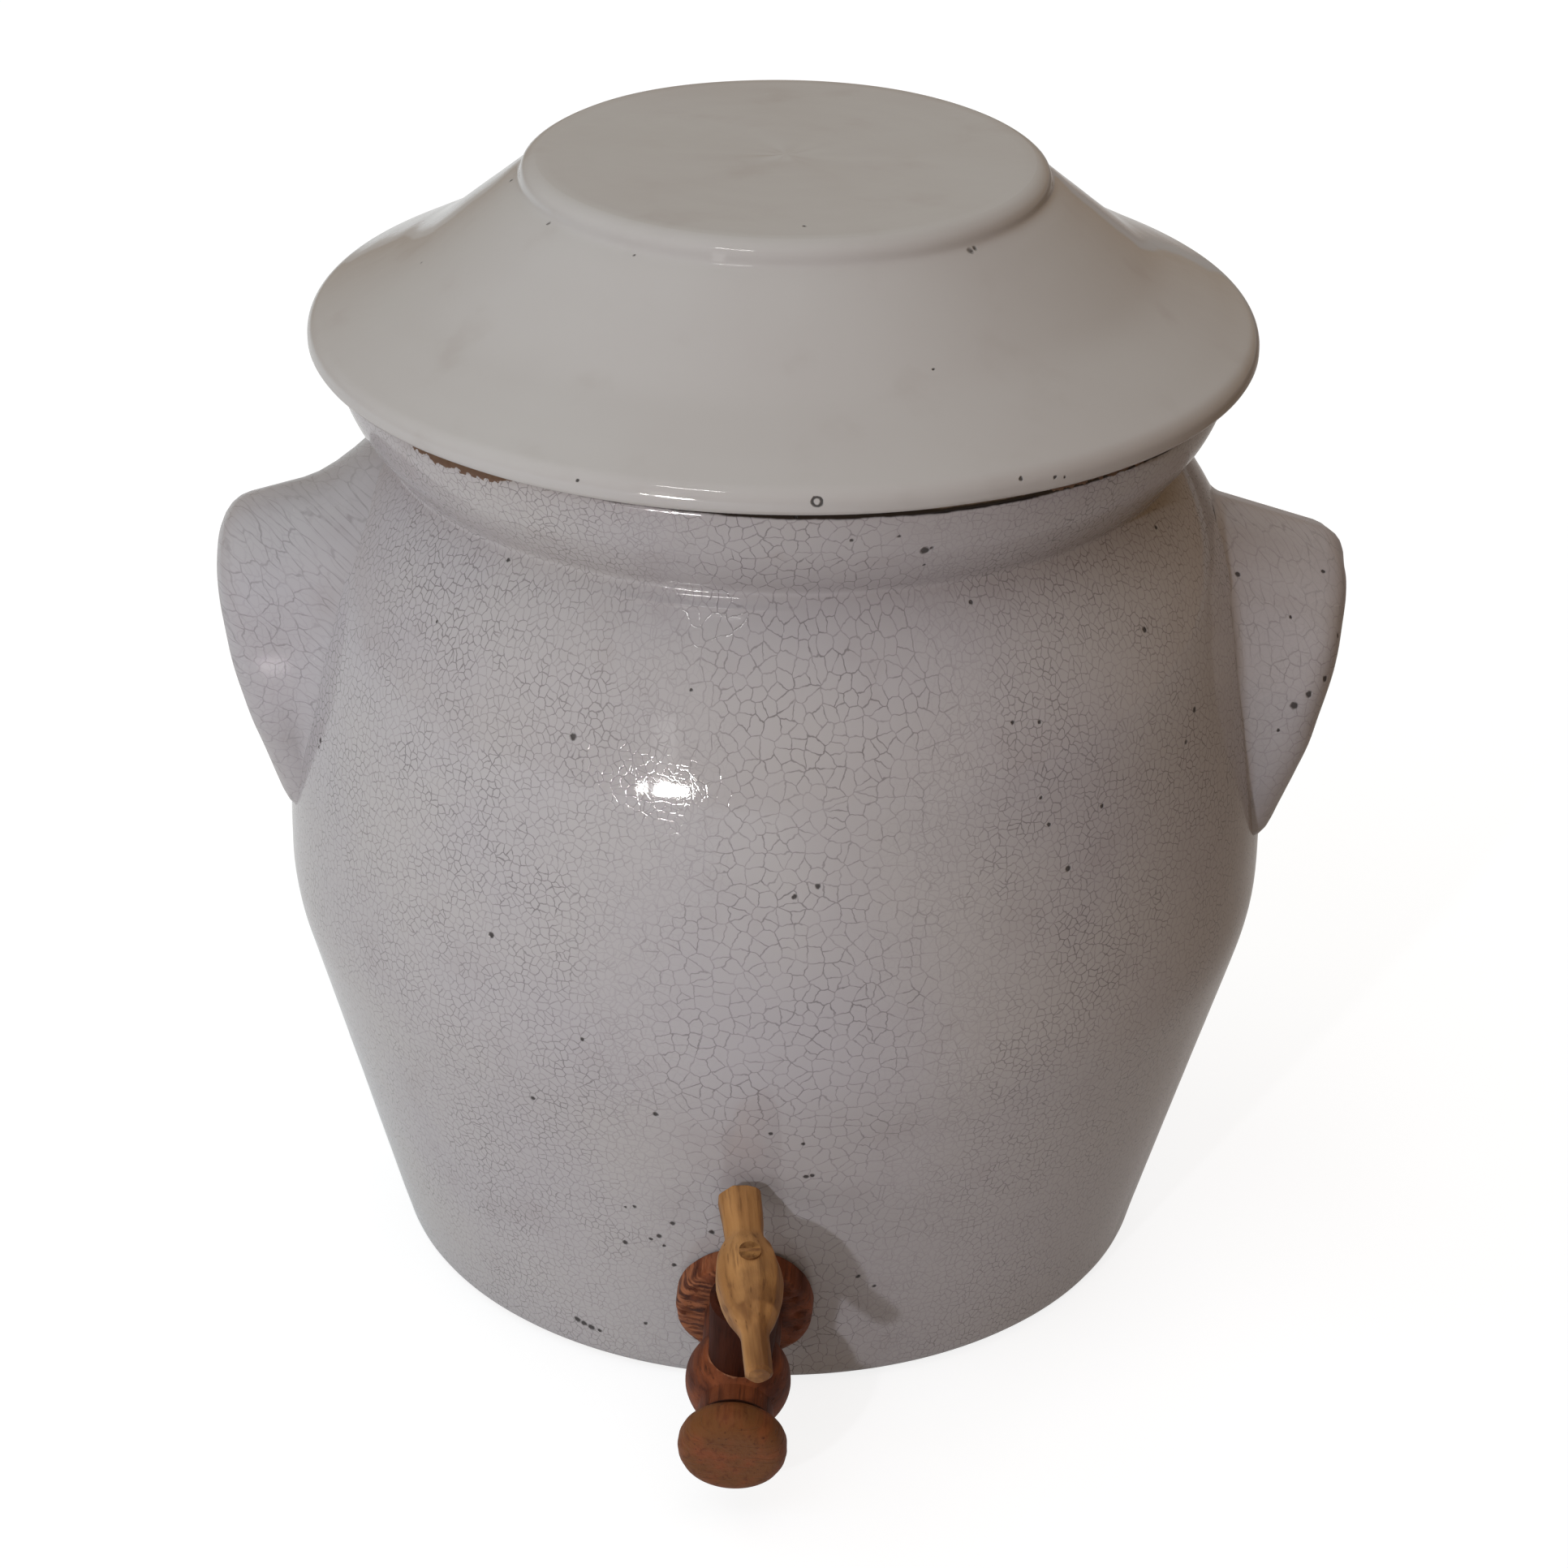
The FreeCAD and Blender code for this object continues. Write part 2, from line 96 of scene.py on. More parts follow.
def ease(value: float, low: float, high: float) -> float:
    """Rise smoothly from 0 at low to 1 at high."""
    share = min(max((value - low) / (high - low), 0.0), 1.0)
    return share * share * (3.0 - 2.0 * share)


def window(value: float, low: float, high: float, soft: float) -> float:
    """Give 1 between two limits, fading to 0 over a soft edge outside them."""
    return ease(value, low - soft, low) * (1.0 - ease(value, high, high + soft))


class Section:
    """A half section, drawn as a wire in the XZ plane and turned into a shell."""

    def __init__(self, across: float, up: float) -> None:
        """Start the wire at one point."""
        self.mesh = bmesh.new()
        self.tip = self.mesh.verts.new((across, 0.0, up))

    def grow(self) -> bmesh.types.BMVert:
        """Draw the wire's tip out into a new vertex in the same place."""
        self.tip = bmesh.ops.extrude_vert_indiv(self.mesh, verts=[self.tip])["verts"][0]
        return self.tip

    def line(self, across: float, up: float, steps: int = 1) -> "Section":
        """Draw a straight run.

        Args:
            across: Where it ends, from the axis.
            up: The height at which it ends.
            steps: How many edges it has.

        Returns:
            The section, to draw on.
        """
        stride = (Vector((across, 0.0, up)) - self.tip.co) / steps
        for _ in range(steps):
            bmesh.ops.translate(self.mesh, verts=[self.grow()], vec=stride)
        return self

    def arc(self, across: float, up: float, radius: float, steps: int, left: bool = True) -> "Section":
        """Draw an arc of under a half circle.

        Args:
            across: Where it ends, from the axis.
            up: The height at which it ends.
            radius: Its radius.
            steps: How many edges it has.
            left: Whether it turns left.

        Returns:
            The section, to draw on.
        """
        start = self.tip.co.copy()
        chord = Vector((across, 0.0, up)) - start
        rise = math.sqrt(max(radius ** 2 - chord.length_squared / 4.0, 0.0))
        side = Vector((-chord.z, 0.0, chord.x)).normalized() * (rise if left else -rise)
        centre = start + chord / 2.0 + side
        angle = 2.0 * math.asin(min(chord.length / (2.0 * radius), 1.0))
        turn = Matrix.Rotation((-angle if left else angle) / steps, 3, "Y")
        for _ in range(steps):
            bmesh.ops.rotate(self.mesh, verts=[self.grow()], cent=centre, matrix=turn)
        return self

    def soften(self, spot: tuple[float, float], reach: float, rounds: int) -> "Section":
        """Ease the wire around a corner.

        Args:
            spot: The corner.
            reach: How far from it the wire is eased.
            rounds: How often.

        Returns:
            The section, to draw on.
        """
        corner = Vector((spot[0], 0.0, spot[1]))
        near = [vert for vert in self.mesh.verts if (vert.co - corner).length < reach]
        for _ in range(rounds):
            bmesh.ops.smooth_vert(self.mesh, verts=near, factor=0.5,
                                  use_axis_x=True, use_axis_y=True, use_axis_z=True)
        return self

    def spin(self, steps: int, axis: Axis = Axis.UP) -> bmesh.types.BMesh:
        """Turn the wire into a closed shell.

        Args:
            steps: How many faces the shell has around.
            axis: The axis that it is turned about.

        Returns:
            The shell's mesh.
        """
        wire = self.mesh.verts[:] + self.mesh.edges[:]
        bmesh.ops.spin(self.mesh, geom=wire, cent=(0.0, 0.0, 0.0), axis=axis.value,
                       angle=math.tau, steps=steps, use_merge=True)
        bmesh.ops.remove_doubles(self.mesh, verts=self.mesh.verts, dist=1e-4)
        bmesh.ops.recalc_face_normals(self.mesh, faces=self.mesh.faces)
        return self.mesh


def finish_piece(mesh: bmesh.types.BMesh, name: str) -> bpy.types.Object:
    """Bring a mesh to metres and make it an object at the origin.

    Args:
        mesh: The mesh, in millimetres, which is freed.
        name: The piece's name.

    Returns:
        The piece, linked into the scene.
    """
    bmesh.ops.scale(mesh, verts=mesh.verts, vec=(MM, MM, MM))
    bmesh.ops.recalc_face_normals(mesh, faces=mesh.faces)
    for face in mesh.faces:
        face.smooth = True
    data = bpy.data.meshes.new(name)
    mesh.to_mesh(data)
    mesh.free()
    piece = bpy.data.objects.new(name, data)
    bpy.context.scene.collection.objects.link(piece)
    return piece


def carve(piece: bpy.types.Object, cutters: Sequence[bpy.types.Object]) -> None:
    """Cut other shapes out of a piece and remove them.

    Args:
        piece: The piece.
        cutters: The shapes that are cut out of it.
    """
    for cutter in cutters:
        cut = piece.modifiers.new("cut", "BOOLEAN")
        cut.operation = "DIFFERENCE"
        cut.solver = "EXACT"
        cut.object = cutter
    depsgraph = bpy.context.evaluated_depsgraph_get()
    carved = bpy.data.meshes.new_from_object(piece.evaluated_get(depsgraph))
    worn = piece.data
    piece.modifiers.clear()
    piece.data = carved
    carved.name = worn.name + "_carved"
    bpy.data.meshes.remove(worn)
    for cutter in cutters:
        shape = cutter.data
        bpy.data.objects.remove(cutter)
        bpy.data.meshes.remove(shape)


def sharpen(piece: bpy.types.Object, degrees: float) -> None:
    """Shade a piece smooth, with edges kept crisp past an angle."""
    piece.data.set_sharp_from_angle(angle=math.radians(degrees))


def place(piece: bpy.types.Object, body: Body, nodes: Sequence[str]) -> None:
    """Tie a piece to its body, and hide the solids that it stands for.

    Args:
        piece: The piece.
        body: The body that it rides on.
        nodes: The solids that it stands for.
    """
    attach(piece, body.value)
    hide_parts(*nodes)
    LOG.info("%s: %d faces on body %s", piece.name, len(piece.data.polygons), body.value)


def dress(piece: bpy.types.Object, material: bpy.types.Material) -> None:
    """Give a piece one material all over."""
    piece.data.materials.clear()
    piece.data.materials.append(material)


class Shading:
    """Adds nodes to one material and joins them."""

    def __init__(self, name: str) -> None:
        """Start an empty material.

        Args:
            name: The material's name.
        """
        self.material = bpy.data.materials.new(name)
        self.material.use_nodes = True
        self.tree = self.material.node_tree
        self.tree.nodes.clear()
        self.place = self.add("TexCoord").outputs["Object"]

    def add(self, kind: str, settings: Optional[Mapping[str, Any]] = None,
            inputs: Optional[Mapping[Union[str, int], Value]] = None) -> bpy.types.Node:
        """Add a node.

        Args:
            kind: The node's type, without its prefix.
            settings: Its options.
            inputs: Its numbers, and the sockets that lead to it.

        Returns:
            The node.
        """
        node = self.tree.nodes.new("ShaderNode" + kind)
        for name, value in (settings or {}).items():
            setattr(node, name, value)
        for name, value in (inputs or {}).items():
            if isinstance(value, Socket):
                self.tree.links.new(value, node.inputs[name])
            else:
                node.inputs[name].default_value = value
        return node

    def sum(self, operation: str, first: Value, second: Value = 0.0, clamp: bool = False) -> Socket:
        """Work out a number from two others."""
        settings = {"operation": operation, "use_clamp": clamp}
        return self.add("Math", settings, {0: first, 1: second}).outputs[0]

    def ramp(self, value: Value, low: Value, high: Value, start: float = 0.0, end: float = 1.0,
             smooth: bool = True) -> Socket:
        """Lead a value from one range to another, and hold it at the ends.

        Args:
            value: The value.
            low: Where the first range starts.
            high: Where it ends.
            start: Where the second range starts.
            end: Where it ends.
            smooth: Whether the change eases in and out.

        Returns:
            The value in the second range.
        """
        settings = {"interpolation_type": "SMOOTHSTEP" if smooth else "LINEAR"}
        inputs = {"Value": value, "From Min": low, "From Max": high, "To Min": start, "To Max": end}
        return self.add("MapRange", settings, inputs).outputs[0]

    def span(self, value: Value, low: Value, high: Value) -> Socket:
        """Rise smoothly from 0 to 1 as a value goes from low to high."""
        return self.ramp(value, low, high)

    def fall(self, value: Value, low: float, high: float) -> Socket:
        """Fall smoothly from 1 to 0 as a value goes from low to high."""
        return self.ramp(value, low, high, 1.0, 0.0)

    def spread(self, value: Value, low: float, high: float) -> Socket:
        """Stretch a value of 0 to 1 between two numbers."""
        return self.ramp(value, 0.0, 1.0, low, high, smooth=False)

    def mix(self, share: Value, first: Value, second: Value, blend: str = "MIX") -> Socket:
        """Mix two colours."""
        settings = {"data_type": "RGBA", "blend_type": blend}
        return self.add("Mix", settings, {0: share, 6: first, 7: second}).outputs[2]

    def cloud(self, scale: float, detail: float = 3.0, where: Optional[Socket] = None,
              roughness: float = 0.5) -> Socket:
        """Add a soft noise of 0 to 1."""
        inputs = {"Vector": where or self.place, "Scale": scale, "Detail": detail, "Roughness": roughness}
        return self.add("TexNoise", {}, inputs).outputs[0]

    def cells(self, scale: float, feature: str, where: Optional[Socket] = None) -> bpy.types.Node:
        """Add a pattern of cells, flat where a place is given for an edge pattern.

        Args:
            scale: How many cells there are to a metre.
            feature: What is measured in each cell.
            where: The place on the piece, where it isn't the plain one.

        Returns:
            The pattern's node.
        """
        flat = where is not None and feature == "DISTANCE_TO_EDGE"
        settings = {"feature": feature, "voronoi_dimensions": "2D" if flat else "3D"}
        return self.add("TexVoronoi", settings, {"Vector": where or self.place, "Scale": scale})

    def stirred(self, scale: float, reach: float, where: Optional[Socket] = None) -> Socket:
        """Stir a place by noise.

        Args:
            scale: How fine the noise is.
            reach: How far it moves the place, in metres.
            where: The place, where it isn't the plain one on the piece.

        Returns:
            The stirred place.
        """
        source = where or self.place
        stir = self.add("TexNoise", {}, {"Vector": source, "Scale": scale, "Detail": 2.0}).outputs[1]
        centred = self.add("VectorMath", {"operation": "SUBTRACT"}, {0: stir, 1: (0.5, 0.5, 0.5)})
        moved = self.add("VectorMath", {"operation": "SCALE"}, {0: centred.outputs[0], "Scale": 2.0 * reach})
        return self.add("VectorMath", {"operation": "ADD"}, {0: source, 1: moved.outputs[0]}).outputs[0]

    def parts(self, where: Optional[Socket] = None) -> tuple[Socket, Socket, Socket]:
        """Split a place, or the plain one on the piece, into its three lengths."""
        split = self.add("SeparateXYZ", {}, {0: where or self.place}).outputs
        return split[0], split[1], split[2]

    def stretched(self, where: Socket, scale: Point, turn: Point = (0.0, 0.0, 0.0)) -> Socket:
        """Stretch and turn a place, for a pattern that runs one way."""
        return self.add("Mapping", {}, {"Vector": where, "Scale": scale, "Rotation": turn}).outputs[0]

    def bearing(self) -> Socket:
        """Give the angle around the piece's axis, from the front."""
        across, deep, _ = self.parts()
        return self.sum("ARCTAN2", across, self.sum("MULTIPLY", deep, -1.0))

    def near(self, spots: Sequence[tuple[Point, float]], where: Socket) -> Socket:
        """Give how near the closest of some spots is, in its own radius.

        Args:
            spots: Places in millimetres, each with its radius.
            where: The place on the piece.

        Returns:
            The least distance over radius.
        """
        least: Optional[Socket] = None
        for spot, radius in spots:
            inputs = {0: where, 1: [length * MM for length in spot]}
            far = self.add("VectorMath", {"operation": "DISTANCE"}, inputs).outputs["Value"]
            share = self.sum("DIVIDE", far, radius * MM)
            least = share if least is None else self.sum("MINIMUM", least, share)
        return least

    def bump(self, height: Socket, reach: float, under: Optional[Socket] = None) -> Socket:
        """Raise the surface.

        Args:
            height: The height, of 0 to 1.
            reach: How many metres a height of 1 is.
            under: The normal that it starts from, where it isn't the plain one.

        Returns:
            The bumped normal.
        """
        inputs: dict[Union[str, int], Value] = {"Height": height, "Distance": reach, "Strength": 1.0}
        if under is not None:
            inputs["Normal"] = under
        return self.add("Bump", {}, inputs).outputs[0]

    def close(self, colour: Value, roughness: Value, normal: Optional[Socket] = None,
              settings: Optional[Mapping[str, Value]] = None) -> bpy.types.Material:
        """Lead everything to the surface.

        Args:
            colour: The base colour.
            roughness: The roughness.
            normal: The bumped normal.
            settings: Other numbers of the surface.

        Returns:
            The finished material.
        """
        inputs: dict[Union[str, int], Value] = {"Base Color": colour, "Roughness": roughness}
        inputs.update(settings or {})
        if normal is not None:
            inputs["Normal"] = normal
        surface = self.add("BsdfPrincipled", {}, inputs).outputs[0]
        self.add("OutputMaterial", {}, {"Surface": surface})
        return self.material


@dataclass(frozen=True)
class Wear:
    """Marks at places on a piece: pits, and stretches of rim with bare clay."""

    pits: tuple[tuple[Point, float], ...] = ()
    rings: tuple[tuple[Point, float], ...] = ()
    chipped: tuple[tuple[float, float, float], ...] = ()
    rim_height: float = 0.0


@dataclass(frozen=True)
class Glaze:
    """A pale glaze over clay, crackled or plain."""

    slot: str
    tone: Colour
    cool: Colour
    crackle: float
    wear: Wear
    wrapped: bool = True
    gloss: tuple[float, float] = (0.035, 0.07)
    sheet_radius: float = 0.118
    coarse_middle: float = 0.012
    coarse_cells: float = 300.0
    fine_cells: float = 500.0
    ear_coarseness: float = 0.75
    # How far below the rim the painted shadow line under the lid starts, in millimetres.
    shadow_line_drop: float = 2.6
    clay: Colour = paint(114, 88, 68)
    clay_deep: Colour = paint(82, 58, 44)
    biscuit: Colour = paint(158, 140, 120)
    biscuit_deep: Colour = paint(112, 92, 74)
    # Dark of the pits, and also the painted shade of the line under the lid's edge.
    pit_dark_and_gap_shade: Colour = paint(34, 29, 27)
    line: Colour = paint(70, 64, 65)

    def crackle_lines(self, shade: Shading) -> Socket:
        """Draw the crackle, coarser at the front and finer at the sides.

        Args:
            shade: The material that it is drawn in.

        Returns:
            The lines, from 0 to 1.
        """
        across, deep, up = shade.parts()
        if self.wrapped:
            around = shade.sum("MULTIPLY", shade.bearing(), self.sheet_radius)
        else:
            around = shade.sum("ADD", across, shade.sum("MULTIPLY", deep, 0.6))
        sheet = shade.add("CombineXYZ", {}, {0: around, 1: up}).outputs[0]
        where = shade.stirred(420.0, 0.0009, sheet)
        off = shade.sum("ABSOLUTE", shade.sum("SUBTRACT", around, self.coarse_middle))
        patch = shade.sum("ADD", off, shade.spread(shade.cloud(24.0), -0.025, 0.025))
        coarse_share = shade.fall(patch, 0.012, 0.055) if self.wrapped else self.ear_coarseness
        edges = [shade.cells(scale, "DISTANCE_TO_EDGE", where).outputs[0]
                 for scale in (self.coarse_cells, self.fine_cells)]
        coarse = shade.fall(edges[0], 0.012, 0.066)
        fine = shade.fall(edges[1], 0.018, 0.1)
        faint = shade.sum("MULTIPLY", fine, shade.sum("SUBTRACT", 1.0, coarse_share))
        bold = shade.sum("MULTIPLY", coarse, coarse_share)
        lines = shade.sum("MAXIMUM", bold, shade.sum("MULTIPLY", faint, 0.95))
        worn = shade.spread(shade.span(shade.cloud(35.0, 2.0), 0.3, 0.72), 0.55, 1.0)
        broken = shade.spread(shade.span(shade.cloud(210.0, 3.0), 0.36, 0.6), 0.5, 1.0)
        return shade.sum("MULTIPLY", shade.sum("MULTIPLY", lines, worn), broken)

    def pinholes(self, shade: Shading, where: Socket) -> Socket:
        """Scatter pinholes of two sizes.

        Args:
            shade: The material that they are drawn in.
            where: The place on the piece.

        Returns:
            The pinholes, from 0 to 1.
        """
        holes: Optional[Socket] = None
        for scale, size, share in ((46.0, 0.026, 0.86), (105.0, 0.045, 0.93)):
            cell = shade.cells(scale, "F1", where)
            draw, _, _ = shade.parts(cell.outputs["Color"])
            chance = shade.sum("GREATER_THAN", draw, share)
            dot = shade.sum("MULTIPLY", shade.fall(cell.outputs["Distance"], size * 0.6, size), chance)
            holes = dot if holes is None else shade.sum("MAXIMUM", holes, dot)
        return holes

    def bare_clay(self, shade: Shading) -> Socket:
        """Find the clay that shows at the foot and where the rim is chipped.

        Args:
            shade: The material that it is drawn in.

        Returns:
            The bare clay, from 0 to 1.
        """
        _, _, up = shade.parts()
        bare = shade.fall(up, 0.0005, 0.0012)
        bearing = shade.sum("MULTIPLY", shade.bearing(), math.degrees(1.0))
        ragged = shade.spread(shade.cloud(420.0, 4.0), -0.0022, 0.0022)
        for low, high, depth in self.wear.chipped:
            edges = shade.sum("MULTIPLY", shade.span(bearing, low - 4.0, low + 3.0),
                              shade.fall(bearing, high - 3.0, high + 4.0))
            drop = shade.sum("SUBTRACT", self.wear.rim_height * MM, shade.sum("MULTIPLY", edges, depth * MM))
            level = shade.sum("ADD", drop, ragged)
            over = shade.sum("MULTIPLY", shade.sum("GREATER_THAN", up, level),
                             shade.sum("GREATER_THAN", edges, 0.15))
            bare = shade.sum("MAXIMUM", bare, over)
        return bare

    def blemishes(self, shade: Shading, where: Socket) -> Socket:
        """Draw the pinholes, the pits and the blisters.

        Args:
            shade: The material that they are drawn in.
            where: The place on the piece.

        Returns:
            The blemishes, from 0 to 1.
        """
        holes = self.pinholes(shade, where)
        if self.wear.pits:
            pits = shade.fall(shade.near(self.wear.pits, where), 0.5, 1.0)
            holes = shade.sum("MAXIMUM", holes, pits)
        for spot, radius in self.wear.rings:
            far = shade.near([(spot, radius)], where)
            ring = shade.fall(shade.sum("ABSOLUTE", shade.sum("SUBTRACT", far, 0.75)), 0.1, 0.34)
            holes = shade.sum("MAXIMUM", holes, ring)
        return holes

    def shadow_line_and_rim_seat(self, shade: Shading, colour: Socket) -> Socket:
        """End the glaze in a painted shadow line at the rim, where the lid's edge shades it, with bare clay
        on top.

        Args:
            shade: The material that it is drawn in.
            colour: The glaze's colour.

        Returns:
            The colour with the painted shadow line and the bare rim.
        """
        across, _, up = shade.parts()
        edge = shade.sum("ADD", up, shade.spread(shade.cloud(160.0, 3.0), -0.0005, 0.0005))
        edge = shade.sum("ADD", edge, shade.sum("MULTIPLY", across, 0.014))
        line = (self.wear.rim_height - self.shadow_line_drop) * MM
        # Painted shadow: the glaze is mixed to a dark line here, standing in for the shade of the gap under
        # the lid.
        colour = shade.mix(shade.span(edge, line - 0.0002, line + 0.0003), colour, self.pit_dark_and_gap_shade)
        seat = shade.span(edge, line + 0.0010, line + 0.0016)
        return shade.mix(seat, colour, shade.mix(shade.cloud(260.0, 5.0), self.biscuit, self.biscuit_deep))

    def make(self) -> bpy.types.Material:
        """Mix the glaze.

        Returns:
            The material.
        """
        shade = Shading(self.slot)
        drift = shade.span(shade.cloud(14.0, 3.0), 0.3, 0.7)
        colour = shade.mix(drift, self.tone, self.cool)
        grime = shade.sum("MULTIPLY", shade.span(shade.cloud(55.0, 5.0), 0.55, 0.8), 0.10)
        colour = shade.mix(grime, colour, self.clay)
        height = shade.sum("MULTIPLY", shade.cloud(180.0, 2.0), 0.16)
        if self.crackle:
            lines = self.crackle_lines(shade)
            colour = shade.mix(shade.sum("MULTIPLY", lines, self.crackle), colour, self.line)
            height = shade.sum("SUBTRACT", height, shade.sum("MULTIPLY", lines, 0.08))
        holes = self.blemishes(shade, shade.stirred(900.0, 0.00035))
        colour = shade.mix(shade.sum("MULTIPLY", holes, 0.88), colour, self.pit_dark_and_gap_shade)
        height = shade.sum("SUBTRACT", height, holes)
        # Painted shadow line under the lid's edge, with the bare clay of the rim's top above it.
        if self.wear.rim_height:
            colour = self.shadow_line_and_rim_seat(shade, colour)
        bare = self.bare_clay(shade)
        colour = shade.mix(bare, colour, shade.mix(shade.cloud(600.0, 4.0), self.clay, self.clay_deep))
        gloss = shade.spread(shade.cloud(30.0, 3.0), *self.gloss)
        dull = shade.sum("MULTIPLY", shade.sum("MAXIMUM", bare, holes), 0.75)
        roughness = shade.sum("MAXIMUM", gloss, dull)
        return shade.close(colour, roughness, shade.bump(height, 0.00022), {"IOR": 1.5})


@dataclass(frozen=True)
class Wood:
    """A turned or whittled wood with its grain along one axis."""

    slot: str
    pale: Colour
    deep: Colour
    stain: Colour
    grime: float
    gloss: tuple[float, float]
    sheen: float
    scratch: float = 0.0
    tip: Optional[Colour] = None
    tip_from: float = 0.0
    dark_bands: tuple[tuple[float, float], ...] = ()
    worn_seat: Optional[tuple[float, float]] = None
    torn_to: float = 0.0
    torn: Colour = paint(158, 98, 64)
    rubbed: Colour = paint(150, 100, 70)

    def fresh_tip(self, shade: Shading, colour: Socket, local: Socket, bands: Socket,
                  grain: Socket) -> Socket:
        """Change the wood to the tip's, past where the tip starts.

        Args:
            shade: The material that it is drawn in.
            colour: The wood's colour.
            local: The place in the wood's own frame.
            bands: The broad grain.
            grain: The fine grain.

        Returns:
            The colour with the tip.
        """
        along, _, _ = shade.parts(local)
        change = shade.span(along, (self.tip_from - 0.6) * MM, (self.tip_from + 0.6) * MM)
        fresh = shade.mix(shade.span(bands, 0.4, 0.75), self.tip, self.pale)
        fresh = shade.mix(shade.sum("MULTIPLY", shade.span(grain, 0.5, 0.7), 0.5), fresh, self.deep)
        return shade.mix(change, colour, fresh)

    def torn_face(self, shade: Shading, colour: Socket, local: Socket) -> Socket:
        """Brighten the splinters of the collar's torn face, at the left.

        Args:
            shade: The material that it is drawn in.
            colour: The wood's colour.
            local: The place in the wood's own frame.

        Returns:
            The colour with the splinters.
        """
        along, across, _ = shade.parts(local)
        left = shade.sum("MULTIPLY", shade.fall(across, -0.013, -0.003),
                         shade.fall(along, self.torn_to * MM, (self.torn_to + 1.0) * MM))
        splinter = shade.stretched(local, (120.0, 150.0, 900.0), (0.6, 0.0, 0.0))
        bright = shade.sum("MULTIPLY", left, shade.span(shade.cloud(1.0, 3.0, splinter), 0.4, 0.62))
        return shade.mix(shade.sum("MULTIPLY", bright, 0.85), colour, self.torn)

    def seat_ring(self, shade: Shading, colour: Socket, local: Socket) -> Socket:
        """Rub the wood pale around the plug's seat, on top and towards the knob.

        Args:
            shade: The material that it is drawn in.
            colour: The wood's colour.
            local: The place in the wood's own frame.

        Returns:
            The colour with the ring.
        """
        along, across, up = shade.parts(local)
        out, radius = self.worn_seat
        side = shade.sum("SUBTRACT", along, out * MM)
        far = shade.sum("SQRT", shade.sum("ADD", shade.sum("MULTIPLY", side, side),
                                          shade.sum("MULTIPLY", across, across)))
        ragged = shade.sum("ADD", far, shade.spread(shade.cloud(480.0, 3.0), -0.0009, 0.0009))
        ring = shade.sum("MULTIPLY", shade.fall(ragged, (radius + 0.5) * MM, (radius + 0.8) * MM),
                         shade.sum("GREATER_THAN", up, 0.0))
        ring = shade.sum("MULTIPLY", ring, shade.span(side, 0.0, 0.004))
        return shade.mix(shade.sum("MULTIPLY", ring, 0.7), colour, self.rubbed)

    def make(self, frame_at: Matrix, name: Optional[str] = None) -> bpy.types.Material:
        """Grow the wood along a frame's first axis.

        Args:
            frame_at: The frame, in metres.
            name: The material's name, where the slot's name isn't right.

        Returns:
            The material.
        """
        shade = Shading(name or self.slot)
        inputs = {"Vector": shade.place, "Location": frame_at.translation, "Rotation": frame_at.to_euler()}
        local = shade.add("Mapping", {"vector_type": "TEXTURE"}, inputs).outputs[0]
        fibre = shade.stretched(local, (55.0, 620.0, 620.0))
        grain = shade.cloud(1.0, 4.0, fibre, 0.6)
        bands = shade.cloud(1.0, 3.0, shade.stretched(local, (22.0, 170.0, 170.0)), 0.55)
        colour = shade.mix(shade.span(bands, 0.32, 0.68), self.pale, self.deep)
        colour = shade.mix(shade.sum("MULTIPLY", shade.span(grain, 0.5, 0.72), 0.55), colour, self.stain)
        blot = shade.span(shade.cloud(75.0, 4.0), 0.48, 0.75)
        colour = shade.mix(shade.sum("MULTIPLY", blot, self.grime), colour, self.stain)
        height = shade.sum("ADD", shade.sum("MULTIPLY", grain, 0.7), shade.sum("MULTIPLY", bands, 0.3))
        if self.scratch:
            score = shade.stretched(local, (260.0, 60.0, 1500.0), (0.5, 0.0, 0.3))
            marks = shade.span(shade.cloud(1.0, 2.0, score), 0.62, 0.74)
            colour = shade.mix(shade.sum("MULTIPLY", marks, self.scratch), colour, self.pale)
            height = shade.sum("SUBTRACT", height, shade.sum("MULTIPLY", marks, 0.5))
        if self.tip:
            colour = self.fresh_tip(shade, colour, local, bands, grain)
        if self.torn_to:
            colour = self.torn_face(shade, colour, local)
        along, _, _ = shade.parts(local)
        for low, high in self.dark_bands:
            band = shade.sum("MULTIPLY", shade.span(along, (low - 0.3) * MM, low * MM),
                             shade.fall(along, high * MM, (high + 0.3) * MM))
            colour = shade.mix(shade.sum("MULTIPLY", band, 0.85), colour, self.stain)
        if self.worn_seat:
            colour = self.seat_ring(shade, colour, local)
        pores = shade.fall(shade.cells(1.0, "F1", fibre).outputs[0], 0.08, 0.2)
        colour = shade.mix(shade.sum("MULTIPLY", pores, 0.5), colour, self.stain)
        roughness = shade.spread(grain, *self.gloss)
        normal = shade.bump(height, 0.00035)
        return shade.close(colour, roughness, normal, {"Specular IOR Level": self.sheen})


@dataclass(frozen=True)
class Cork:
    """Pressed bark, drilled for the tap's tail."""

    slot: str = "cork"
    bark: Colour = paint(168, 124, 82)
    pit: Colour = paint(92, 58, 36)

    def make(self) -> bpy.types.Material:
        """Grow the cork.

        Returns:
            The material.
        """
        shade = Shading(self.slot)
        cell = shade.cells(420.0, "F1")
        speck = shade.span(shade.cloud(320.0, 4.0), 0.55, 0.7)
        colour = shade.mix(speck, shade.mix(cell.outputs["Distance"], self.bark, self.pit), self.pit)
        normal = shade.bump(cell.outputs["Distance"], 0.0003)
        return shade.close(colour, shade.spread(speck, 0.75, 0.9), normal)


